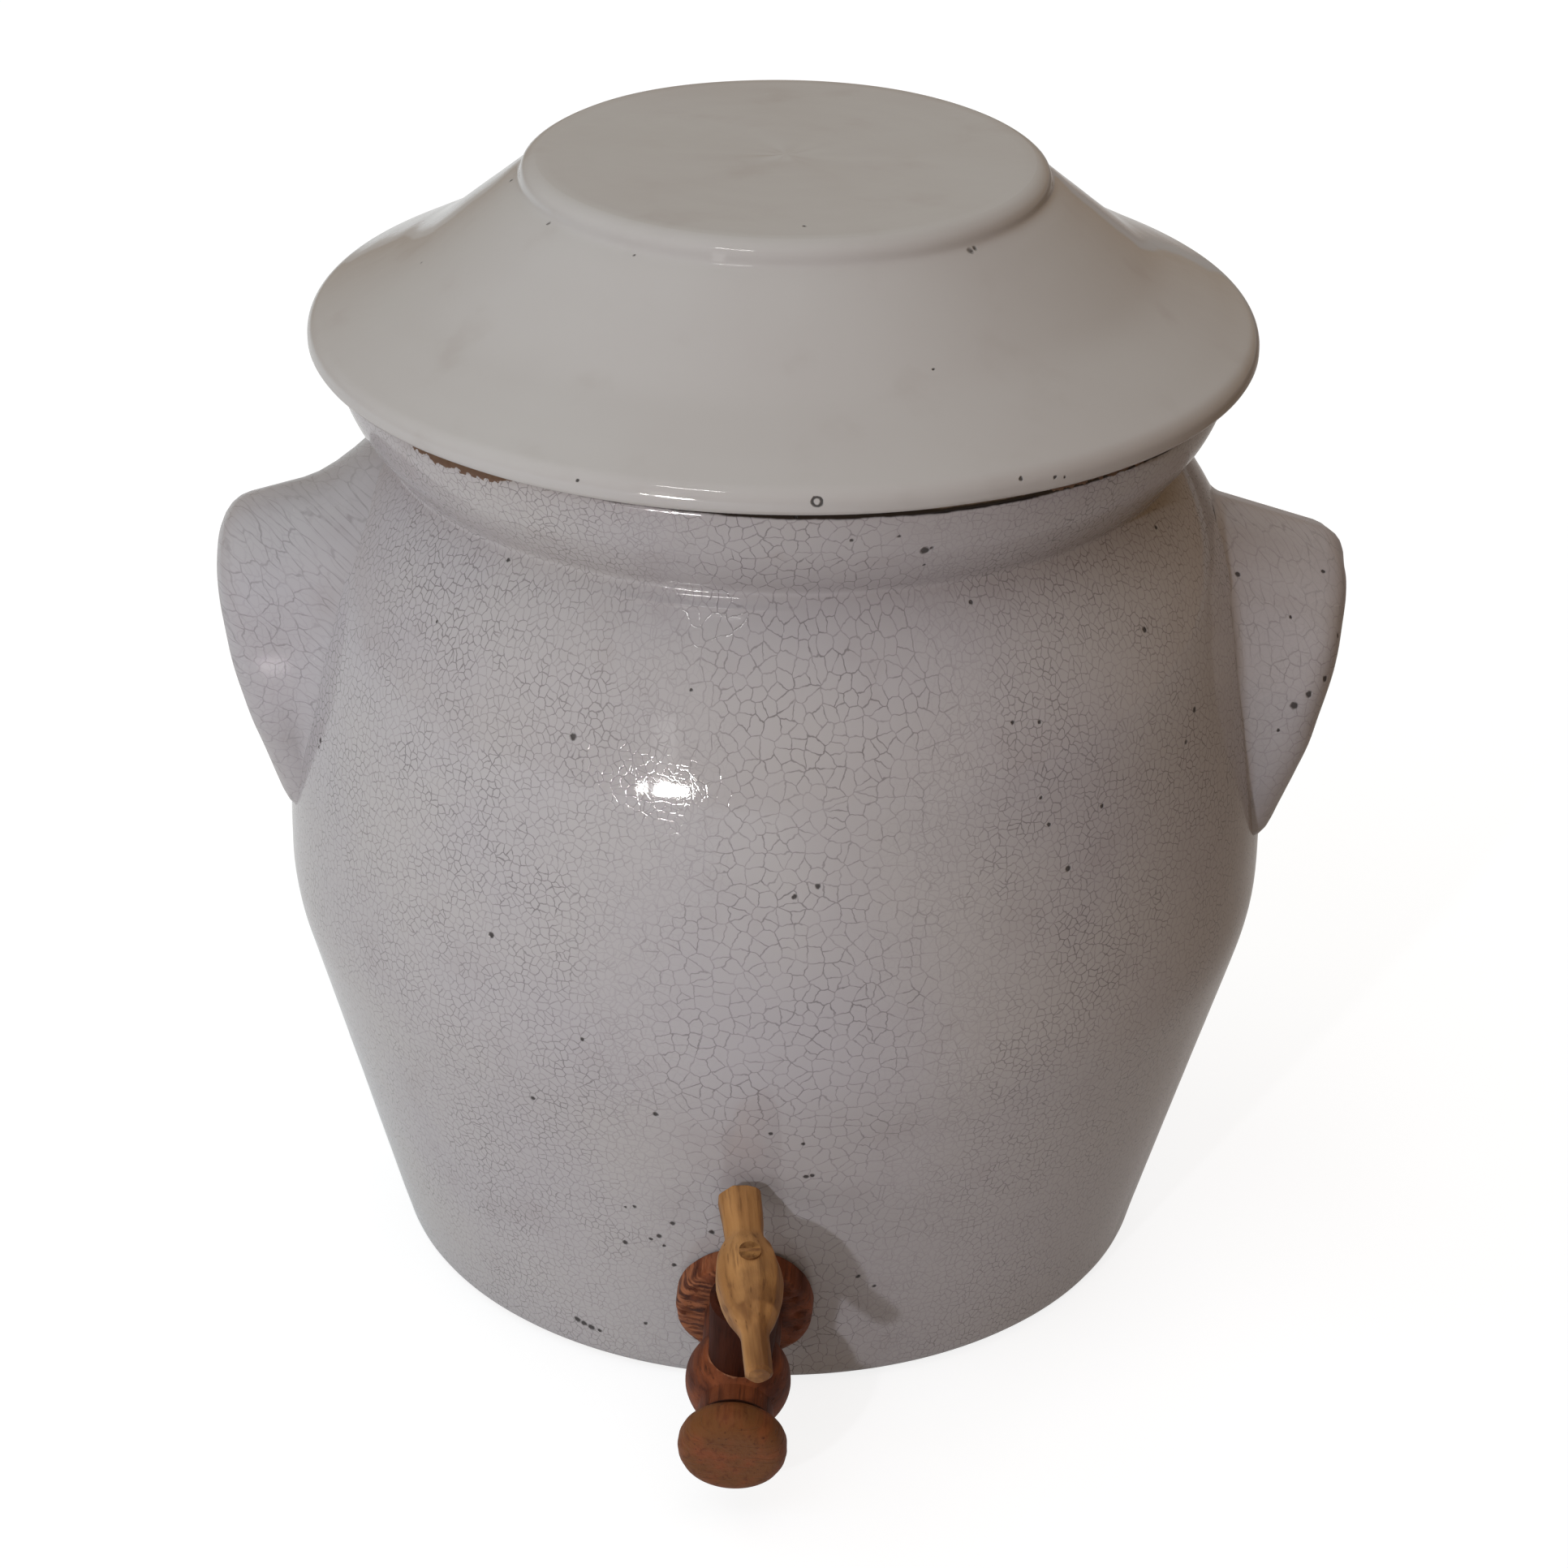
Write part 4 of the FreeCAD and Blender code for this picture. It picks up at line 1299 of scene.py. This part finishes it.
@dataclass
class Tap:
    """The turned wooden tap: barrel, plug and cross handle."""

    pivot: Vector
    plug_axis: Vector
    bulb_out: float = 27.5
    tail_length: float = 36.0
    tail_tip: float = 7.0
    spigot: float = 9.5
    bore: float = 3.5
    bung_radius: float = 14.0
    hole_back: float = 30.0
    hole_front: float = 12.0
    overcut: float = 3.0
    seat_gap: float = 0.2
    disc_radius: float = 16.8
    disc_thick: float = 7.5
    disc_round: float = 2.2
    disc_back_round: float = 0.8
    bulb_radius: float = 12.75
    groove_depth: float = 1.3
    groove_width: float = 1.6
    waist: float = 9.1
    knob_out: float = 52.8
    knob_radius: float = 13.0
    knob_round: float = 4.6
    knob_length: float = 9.8
    plug_radius: float = 7.2
    plug_slope: float = math.tan(math.radians(2.5))
    plug_fit: float = 0.08
    handle_turn: float = math.radians(8.4)
    handle_height: float = 39.2
    handle_radius: float = 8.15
    handle_belly: float = 1.6
    near_arm: float = 30.8
    near_radius: float = 3.35
    near_swell: float = 17.0
    far_arm: float = 23.6
    far_radius: float = 4.7
    far_swell: float = 11.0
    far_flare: float = 0.9
    arm_round: float = 0.8
    tenon: float = 2.6
    cuts: int = 9
    chatter: float = 0.10
    tear: float = 0.8
    tear_sunk: float = 0.3
    nick: float = 0.45
    lathe: float = 0.05
    lathe_pitch: float = 1.7

    def __post_init__(self) -> None:
        """Work out the tap's frames, in millimetres."""
        up = self.plug_axis.normalized()
        out = Vector((1.0, 0.0, 0.0)).cross(up).normalized() * -1.0
        out = out if out.y < 0 else -out
        self.barrel_frame = self.frame_of(out, up, self.pivot - out * self.bulb_out)
        aim = Matrix.Rotation(self.handle_turn, 3, up) @ out
        self.handle_frame = self.frame_of(aim, up, self.pivot + up * self.handle_height)

    @staticmethod
    def frame_of(along: Vector, up: Vector, at: Vector) -> Matrix:
        """Build a frame from two axes and a place.

        Args:
            along: Its first axis.
            up: Its last axis.
            at: Its place.

        Returns:
            The frame.
        """
        side = up.cross(along)
        turn = Matrix((along, side, up)).transposed().to_4x4()
        turn.translation = at
        return turn

    @staticmethod
    def in_metres(frame_at: Matrix) -> Matrix:
        """Give a frame with its place in metres.

        Args:
            frame_at: The frame, in millimetres.

        Returns:
            The frame, in metres.
        """
        moved = frame_at.copy()
        moved.translation = frame_at.translation * MM
        return moved

    def rod(self, low: float, high: float, radius_low: float, radius_high: float, at: Matrix,
            name: str, axis: Axis) -> bpy.types.Object:
        """Turn a plain rod, to cut a hole with.

        Args:
            low: Where it starts along its axis.
            high: Where it ends.
            radius_low: Its radius at the start.
            radius_high: Its radius at the end.
            at: The frame that it is placed in.
            name: Its name.
            axis: The axis that it runs along.

        Returns:
            The rod.
        """
        mesh = bmesh.new()
        bmesh.ops.create_cone(mesh, cap_ends=True, segments=64, radius1=radius_low, radius2=radius_high,
                              depth=high - low)
        bmesh.ops.translate(mesh, verts=mesh.verts, vec=(0.0, 0.0, (low + high) / 2))
        if axis is Axis.ALONG:
            bmesh.ops.rotate(mesh, verts=mesh.verts, matrix=Matrix.Rotation(math.radians(90.0), 3, "Y"))
        bmesh.ops.transform(mesh, matrix=at, verts=mesh.verts)
        return finish_piece(mesh, name)

    def wall_hole(self) -> bpy.types.Object:
        """Make the shape of the hole in the pot's wall."""
        ends, radii = (-self.hole_back, self.hole_front), (self.bung_radius, self.bung_radius)
        return self.rod(*ends, *radii, at=self.barrel_frame, name="hole", axis=Axis.ALONG)

    def barrel(self) -> bpy.types.Object:
        """Turn the barrel, bore it and ream the plug's seat.

        Returns:
            The barrel.
        """
        bulb, waist = self.bulb_radius, self.waist
        back = self.bulb_out - math.sqrt(bulb ** 2 - self.spigot ** 2)
        front = self.bulb_out + math.sqrt(bulb ** 2 - waist ** 2)
        knob_back = self.knob_out - self.knob_length
        shoulder = self.knob_radius - waist
        draw = Section(-self.tail_length, 0.0)
        draw.line(-self.tail_length, self.tail_tip, 3)
        draw.line(0.0, self.spigot, 12)
        draw.line(self.seat_gap, self.spigot)
        draw.line(self.seat_gap, self.disc_radius - self.disc_back_round, 4)
        draw.arc(self.seat_gap + self.disc_back_round, self.disc_radius, self.disc_back_round, 3, left=False)
        draw.line(self.disc_thick - self.disc_round, self.disc_radius, 5)
        draw.arc(self.disc_thick, self.disc_radius - self.disc_round, self.disc_round, 6, left=False)
        draw.line(self.disc_thick, self.spigot, 6)
        draw.line(back, self.spigot, 6)
        draw.arc(self.bulb_out, bulb, bulb, 14, left=False)
        draw.arc(front, waist, bulb, 14, left=False)
        draw.line(knob_back - self.groove_width, waist, 4)
        draw.line(knob_back - self.groove_width / 2, waist - self.groove_depth, 3)
        draw.line(knob_back, waist, 3)
        draw.arc(knob_back + shoulder, self.knob_radius, shoulder, 8, left=False)
        draw.line(self.knob_out - self.knob_round, self.knob_radius, 2)
        draw.arc(self.knob_out, self.knob_radius - self.knob_round, self.knob_round, 9, left=False)
        draw.line(self.knob_out, 0.0, 6)
        mesh = draw.spin(112, Axis.ALONG)
        self.weather(mesh)
        bmesh.ops.transform(mesh, matrix=self.barrel_frame, verts=mesh.verts)
        piece = finish_piece(mesh, "barrel_turned")
        reach = self.bulb_radius + self.overcut
        middle, flare = self.plug_radius + self.plug_fit, reach * self.plug_slope
        pivot_frame = self.barrel_frame @ Matrix.Translation((self.bulb_out, 0.0, 0.0))
        seat = self.rod(-reach, reach, middle - flare, middle + flare, pivot_frame, "seat", Axis.UP)
        bore = self.rod(-self.tail_length - 1.0, self.bulb_out, self.bore, self.bore, self.barrel_frame,
                        "bore", Axis.ALONG)
        carve(piece, [seat, bore])
        sharpen(piece, 38.0)
        return piece

    def weather(self, mesh: bmesh.types.BMesh) -> None:
        """Leave tool marks on the barrel, nick its collar and tear the collar's face.

        Args:
            mesh: The barrel, in its own frame.
        """
        face = self.disc_thick
        for vert in mesh.verts:
            along, side, up = vert.co
            radius = math.hypot(side, up)
            if radius < 0.5:
                continue
            chatter = self.chatter * noise.noise(Vector((along / 3.0, side / 5.0, up / 5.0)))
            torn = window(along, face - 0.4, face + 0.4, 0.6) * ease(radius, 11.0, 13.0)
            rip = noise.noise(Vector((side / 7.0 + up / 4.0, up / 1.1 - side / 2.2, 2.0)))
            vert.co.x += torn * (self.tear * rip - self.tear_sunk)
            nick = window(along, 1.0, face - 1.0, 0.8) * ease(radius, 15.5, 16.5)
            shave = chatter + nick * self.nick * min(noise.noise(vert.co / 3.4), 0.1)
            lathe = self.lathe * math.sin(math.tau * along / self.lathe_pitch) * ease(along, 40.0, 44.0)
            vert.co.yz = vert.co.yz * (1.0 + (shave + lathe) / radius)

    def handle(self) -> bpy.types.Object:
        """Turn the cross handle, then cut it with a knife.

        Returns:
            The handle.
        """
        near_dip, far_dip = self.handle_radius - self.near_radius, self.handle_radius - self.far_radius
        near_curve = (self.near_swell ** 2 + near_dip ** 2) / (2 * near_dip)
        far_curve = (self.far_swell ** 2 + far_dip ** 2) / (2 * far_dip)
        draw = Section(-self.far_arm, 0.0)
        flare = self.far_radius + self.far_flare
        draw.line(-self.far_arm, flare - self.arm_round, 5)
        draw.line(self.arm_round - self.far_arm, flare, 2)
        draw.line(self.handle_belly - self.far_swell, self.far_radius, 14)
        draw.arc(self.handle_belly, self.handle_radius, far_curve, 16, left=False)
        draw.arc(self.handle_belly + self.near_swell, self.near_radius, near_curve, 22, left=False)
        draw.line(self.near_arm - self.arm_round, self.near_radius, 16)
        draw.line(self.near_arm, self.near_radius - self.arm_round, 2)
        draw.line(self.near_arm, 0.0, 4)
        draw.soften((self.handle_belly - self.far_swell, self.far_radius), 3.0, 4)
        draw.soften((self.handle_belly + self.near_swell, self.near_radius), 3.0, 4)
        mesh = draw.spin(80, Axis.ALONG)
        self.whittle(mesh)
        bmesh.ops.transform(mesh, matrix=self.handle_frame, verts=mesh.verts)
        piece = finish_piece(mesh, "handle_whittled")
        hole = self.rod(-20.0, 20.0, self.tenon, self.tenon, self.handle_frame, "tenon_hole", Axis.UP)
        carve(piece, [hole])
        sharpen(piece, 30.0)
        return piece

    def whittle(self, mesh: bmesh.types.BMesh) -> None:
        """Flatten the turned handle with long knife cuts.

        Args:
            mesh: The handle, in its own frame.
        """
        for vert in mesh.verts:
            along = vert.co.x
            radius = math.hypot(vert.co.y, vert.co.z)
            if radius < 0.4:
                continue
            angle = math.atan2(vert.co.y, vert.co.z)
            depth = 0.0
            for cut in range(self.cuts):
                lean = 0.10 * math.sin(cut * 2.7) * along / 10.0
                middle = math.tau * (cut + 0.3 * math.sin(cut * 5.1)) / self.cuts + lean
                away = (angle - middle + math.pi) % math.tau - math.pi
                if abs(away) > math.pi / 2.4:
                    continue
                level = 0.935 + 0.04 * noise.noise(Vector((cut * 3.7, along / 6.5, 5.0)))
                flat = level / max(math.cos(away), 0.2)
                depth = max(depth, 1.0 - min(flat, 1.0))
            scar = 0.05 * noise.noise(Vector((along / 2.2, angle * 2.0, 8.0)))
            vert.co.yz = vert.co.yz * (1.0 - depth + scar / radius)

    def dress_key(self, nodes: Mapping[str, bpy.types.Object], dark: Wood, pale: Wood) -> None:
        """Give the plug and the wedge their woods.

        Args:
            nodes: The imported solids.
            dark: The plug's wood.
            pale: The wedge's wood.
        """
        up = self.plug_axis.normalized()
        side = Vector((1.0, 0.0, 0.0))
        standing = self.frame_of(up, up.cross(side).normalized(), self.pivot)
        dress(nodes["tap_plug"], dark.make(self.in_metres(standing)))
        dress(nodes["tenon_wedge"], pale.make(self.in_metres(standing), "wedge_wood"))


@dataclass(frozen=True)
class Lamp:
    """One soft lamp, aimed at the crock."""

    name: str
    bearing: float
    height: float
    away: float
    wide: float
    tall: float
    level: float
    tint: Colour
    aim: Point = (0.0, 0.0, 0.15)
    glossy: bool = True
    diffuse: bool = True
    spread: float = 180.0

    def hang(self) -> bpy.types.Object:
        """Hang the lamp.

        Returns:
            The lamp.
        """
        data = bpy.data.lights.new(self.name, "AREA")
        data.shape = "RECTANGLE"
        data.size, data.size_y = self.wide, self.tall
        data.energy = self.level * math.pi ** 2 * self.away ** 2
        data.color = self.tint[:3]
        data.spread = math.radians(self.spread)
        lamp = bpy.data.objects.new(self.name, data)
        turn, lift = math.radians(self.bearing), math.radians(self.height)
        way = Vector((math.sin(turn) * math.cos(lift), -math.cos(turn) * math.cos(lift), math.sin(lift)))
        lamp.location = Vector(self.aim) + way * self.away
        lamp.rotation_euler = way.to_track_quat("Z", "Y").to_euler()
        lamp.visible_camera = False
        lamp.visible_glossy = self.glossy
        lamp.visible_diffuse = self.diffuse
        bpy.context.scene.collection.objects.link(lamp)
        return lamp


@dataclass
class Studio:
    """The pale floor, the lamps, the room around them and the camera."""

    floor_size: float = 9.0
    floor_gap: float = 0.4
    mirrored: float = 0.2
    camera_at: Point = (0.047796, -0.943510, 0.600130)
    camera_right: Point = (0.99828341, 0.05640379, 0.01577512)
    camera_up: Point = (-0.0396185, 0.45196235, 0.89115678)
    lens: float = 93.56
    sensor: float = 36.0
    card_half: float = 1700.0
    card_at: Point = (1780.0, 500.0, 0.2)
    room: Colour = (0.20, 0.128, 0.068, 1.0)
    card: Colour = (0.075, 0.052, 0.038, 1.0)
    lamps: tuple[Lamp, ...] = field(default_factory=lambda: (
        Lamp("key", -20.3, 22.7, 1.9, 0.05, 0.05, 0.315, (0.88, 0.91, 1.0, 1.0),
             aim=(0.007, -0.173, 0.055), glossy=False),
        Lamp("left_high", -40.0, 50.0, 2.2, 1.5, 1.2, 0.27, (0.66, 0.84, 1.0, 1.0), glossy=False),
        Lamp("left_back", -115.0, 50.0, 2.2, 1.5, 1.2, 0.22, (0.74, 0.95, 1.0, 1.0), glossy=False),
        Lamp("low_left", -40.0, 1.0, 2.2, 1.5, 0.28, 0.09, (0.95, 0.92, 1.0, 1.0), glossy=False),
        Lamp("low_right", 30.0, 1.0, 2.2, 1.2, 0.28, 0.012, (1.0, 0.86, 0.76, 1.0), glossy=False),
        Lamp("left_front", -40.0, 15.0, 2.2, 1.5, 1.2, 0.05, (1.0, 1.0, 0.95, 1.0), glossy=False),
        Lamp("back", 168.0, 22.0, 2.2, 1.5, 1.2, 0.36, (0.8, 0.9, 1.0, 1.0), glossy=False),
        Lamp("top", 42.0, 76.0, 2.2, 1.5, 1.5, 0.22, (1.0, 0.98, 0.97, 1.0), glossy=False),
        Lamp("gleam", -20.7, -2.0, 0.95, 0.14, 0.06, 0.0045, (1.0, 0.99, 0.97, 1.0),
             aim=(-0.026, -0.116, 0.2), diffuse=False, spread=15.0),
        Lamp("gleam_side", -27.8, -2.2, 0.95, 0.024, 0.035, 0.0006, (1.0, 0.99, 0.97, 1.0),
             aim=(-0.026, -0.116, 0.2), diffuse=False, spread=15.0),
        Lamp("tube", -22.0, 52.0, 1.2, 0.28, 0.03, 0.06, (1.0, 0.99, 0.97, 1.0),
             aim=(-0.02, -0.1, 0.22), diffuse=False),
        Lamp("glow", -24.0, 10.0, 1.2, 0.12, 0.44, 0.014, (1.0, 0.99, 0.97, 1.0),
             aim=(-0.02, -0.118, 0.18), diffuse=False),
    ))

    def lay_floor(self) -> bpy.types.Object:
        """Lay the pale floor, white to the eye but with the crock's shadow.

        Returns:
            The floor.
        """
        mesh = bmesh.new()
        bmesh.ops.create_grid(mesh, x_segments=1, y_segments=1, size=self.floor_size / 2 / MM)
        bmesh.ops.translate(mesh, verts=mesh.verts, vec=(0.0, 0.0, -self.floor_gap))
        floor = finish_piece(mesh, "floor")
        shade = Shading("pale_floor")
        path = shade.add("LightPath").outputs
        mirrored = shade.sum("MULTIPLY", path["Is Glossy Ray"], self.mirrored)
        seen = shade.sum("ADD", path["Is Camera Ray"], mirrored, clamp=True)
        across, _, _ = shade.parts()
        bounce = shade.mix(shade.span(across, -0.05, 0.32), paint(228, 227, 226), paint(124, 104, 86))
        matte = shade.add("BsdfDiffuse", {}, {"Color": bounce}).outputs[0]
        thin = shade.add("BsdfDiffuse", {}, {"Color": paint(140, 139, 138)}).outputs[0]
        glow = shade.add("Emission", {}, {"Color": (1.0, 1.0, 1.0, 1.0), "Strength": 0.84}).outputs[0]
        both = shade.add("AddShader", {}, {0: thin, 1: glow}).outputs[0]
        surface = shade.add("MixShader", {}, {0: seen, 1: matte, 2: both}).outputs[0]
        shade.add("OutputMaterial", {}, {"Surface": surface})
        dress(floor, shade.material)
        return floor

    def lay_card(self) -> bpy.types.Object:
        """Lay a brown card at the right that only the glaze's reflections show.

        Returns:
            The card.
        """
        mesh = bmesh.new()
        bmesh.ops.create_grid(mesh, x_segments=1, y_segments=1, size=self.card_half)
        bmesh.ops.translate(mesh, verts=mesh.verts, vec=self.card_at)
        card = finish_piece(mesh, "brown_card")
        shade = Shading("brown_card")
        across, _, _ = shade.parts()
        clear = shade.add("BsdfTransparent").outputs[0]
        glow = shade.add("Emission", {}, {"Color": self.card, "Strength": 1.0}).outputs[0]
        share = shade.span(across, 0.12, 0.75)
        surface = shade.add("MixShader", {}, {0: share, 1: clear, 2: glow}).outputs[0]
        shade.add("OutputMaterial", {}, {"Surface": surface})
        dress(card, shade.material)
        card.visible_camera = False
        card.visible_diffuse = False
        card.visible_shadow = False
        return card

    def light_room(self) -> None:
        """Surround the crock with a dim brown room, pale only to the eye."""
        world = bpy.data.worlds.new("room")
        bpy.context.scene.world = world
        world.use_nodes = True
        tree = world.node_tree
        tree.nodes.clear()
        room = tree.nodes.new("ShaderNodeBackground")
        room.inputs[0].default_value = self.room
        pale = tree.nodes.new("ShaderNodeBackground")
        pale.inputs[0].default_value = (0.96, 0.96, 0.96, 1.0)
        path = tree.nodes.new("ShaderNodeLightPath")
        choice = tree.nodes.new("ShaderNodeMixShader")
        output = tree.nodes.new("ShaderNodeOutputWorld")
        tree.links.new(path.outputs["Is Camera Ray"], choice.inputs[0])
        tree.links.new(room.outputs[0], choice.inputs[1])
        tree.links.new(pale.outputs[0], choice.inputs[2])
        tree.links.new(choice.outputs[0], output.inputs[0])

    def set_camera(self) -> bpy.types.Object:
        """Stand the camera where the photograph was taken from.

        Returns:
            The camera.
        """
        data = bpy.data.cameras.new("camera")
        data.sensor_fit = "HORIZONTAL"
        data.sensor_width = self.sensor
        data.lens = self.lens
        camera = bpy.data.objects.new("camera", data)
        right, up = Vector(self.camera_right), Vector(self.camera_up)
        turn = Matrix((right, up, right.cross(up))).transposed().to_4x4()
        camera.matrix_world = Matrix.Translation(self.camera_at) @ turn
        bpy.context.scene.collection.objects.link(camera)
        bpy.context.scene.camera = camera
        return camera

    def build(self) -> None:
        """Set up the floor, light and camera."""
        self.lay_floor()
        self.lay_card()
        for lamp in self.lamps:
            lamp.hang()
        self.light_room()
        self.set_camera()
        bpy.context.scene.view_settings.view_transform = "Standard"


def build_ware(crock: Crock, tap: Tap) -> None:
    """Throw and glaze the pot, its ears and its lid.

    Args:
        crock: The pot.
        tap: The tap that the pot is bored for.
    """
    tone, cool = paint(177, 172, 170), paint(172, 167, 169)
    pot = crock.build(tap.wall_hole())
    dress(pot, Glaze("crackle_glaze", tone, cool, 0.6, crock.wear()).make())
    place(pot, Body.CROCK, ["crock_body"])
    ear_glaze = Glaze("ear_glaze", tone, cool, 0.5, Lug.wear(), wrapped=False, gloss=(0.22, 0.32)).make()
    for lug in (Lug("ear_left", "left_lug", 182.9, 155.6, 132.0, 14.0, 0.4),
                Lug("ear_right", "right_lug", 2.9, 152.4, 133.4, 2.0, 1.0)):
        ear = lug.build(crock)
        dress(ear, ear_glaze)
        place(ear, Body.CROCK, [lug.node])
    lid = Lid(crock.rim_height, crock.throat_slope)
    cover = lid.build()
    dress(cover, Glaze("lid_glaze", paint(181, 177, 173), paint(178, 173, 169), 0.0, lid.wear()).make())
    place(cover, Body.LID, ["lid"])


def build_tap(tap: Tap, nodes: Mapping[str, bpy.types.Object]) -> None:
    """Turn the tap's barrel and handle, and give all its pieces their finishes.

    Args:
        tap: The tap.
        nodes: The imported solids.
    """
    stained = Wood("stained_wood", paint(128, 68, 38), paint(74, 34, 20), paint(36, 15, 11), grime=0.6,
                   gloss=(0.5, 0.7), sheen=0.3, scratch=0.3, tip=paint(108, 66, 34), tip_from=43.0,
                   dark_bands=((41.2, 43.0),), worn_seat=(tap.bulb_out, tap.plug_radius),
                   torn_to=tap.disc_thick + 0.6)
    barrel = tap.barrel()
    dress(barrel, stained.make(tap.in_metres(tap.barrel_frame)))
    place(barrel, Body.CROCK, ["tap_barrel"])
    pale = Wood("pale_wood", paint(174, 127, 77), paint(144, 100, 57), paint(80, 49, 30), grime=0.5,
                gloss=(0.5, 0.7), sheen=0.3, tip=paint(112, 74, 42), tip_from=13.0)
    handle = tap.handle()
    dress(handle, pale.make(tap.in_metres(tap.handle_frame)))
    place(handle, Body.KEY, ["tap_handle"])
    dark = Wood("dark_wood", paint(62, 28, 16), paint(46, 20, 13), paint(26, 11, 8), grime=0.5,
                gloss=(0.65, 0.85), sheen=0.12, tip=paint(150, 108, 64), tip_from=33.0)
    tap.dress_key(nodes, dark, pale)
    dress(nodes["cork_bung"], Cork().make())


def main() -> None:
    """Build and dress the crock, its ears, its lid and its tap, and light them."""
    logging.basicConfig(level=logging.INFO, format="%(name)s: %(message)s")
    joint = next(item for item in frame["joints"] if item["name"] == "key_turn")
    tap = Tap(Vector(joint["pos_m"]) / MM, Vector(joint["axis"]))
    build_ware(Crock(), tap)
    build_tap(tap, frame["nodes"])
    Studio().build()


if __name__ == "__main__":
    main()
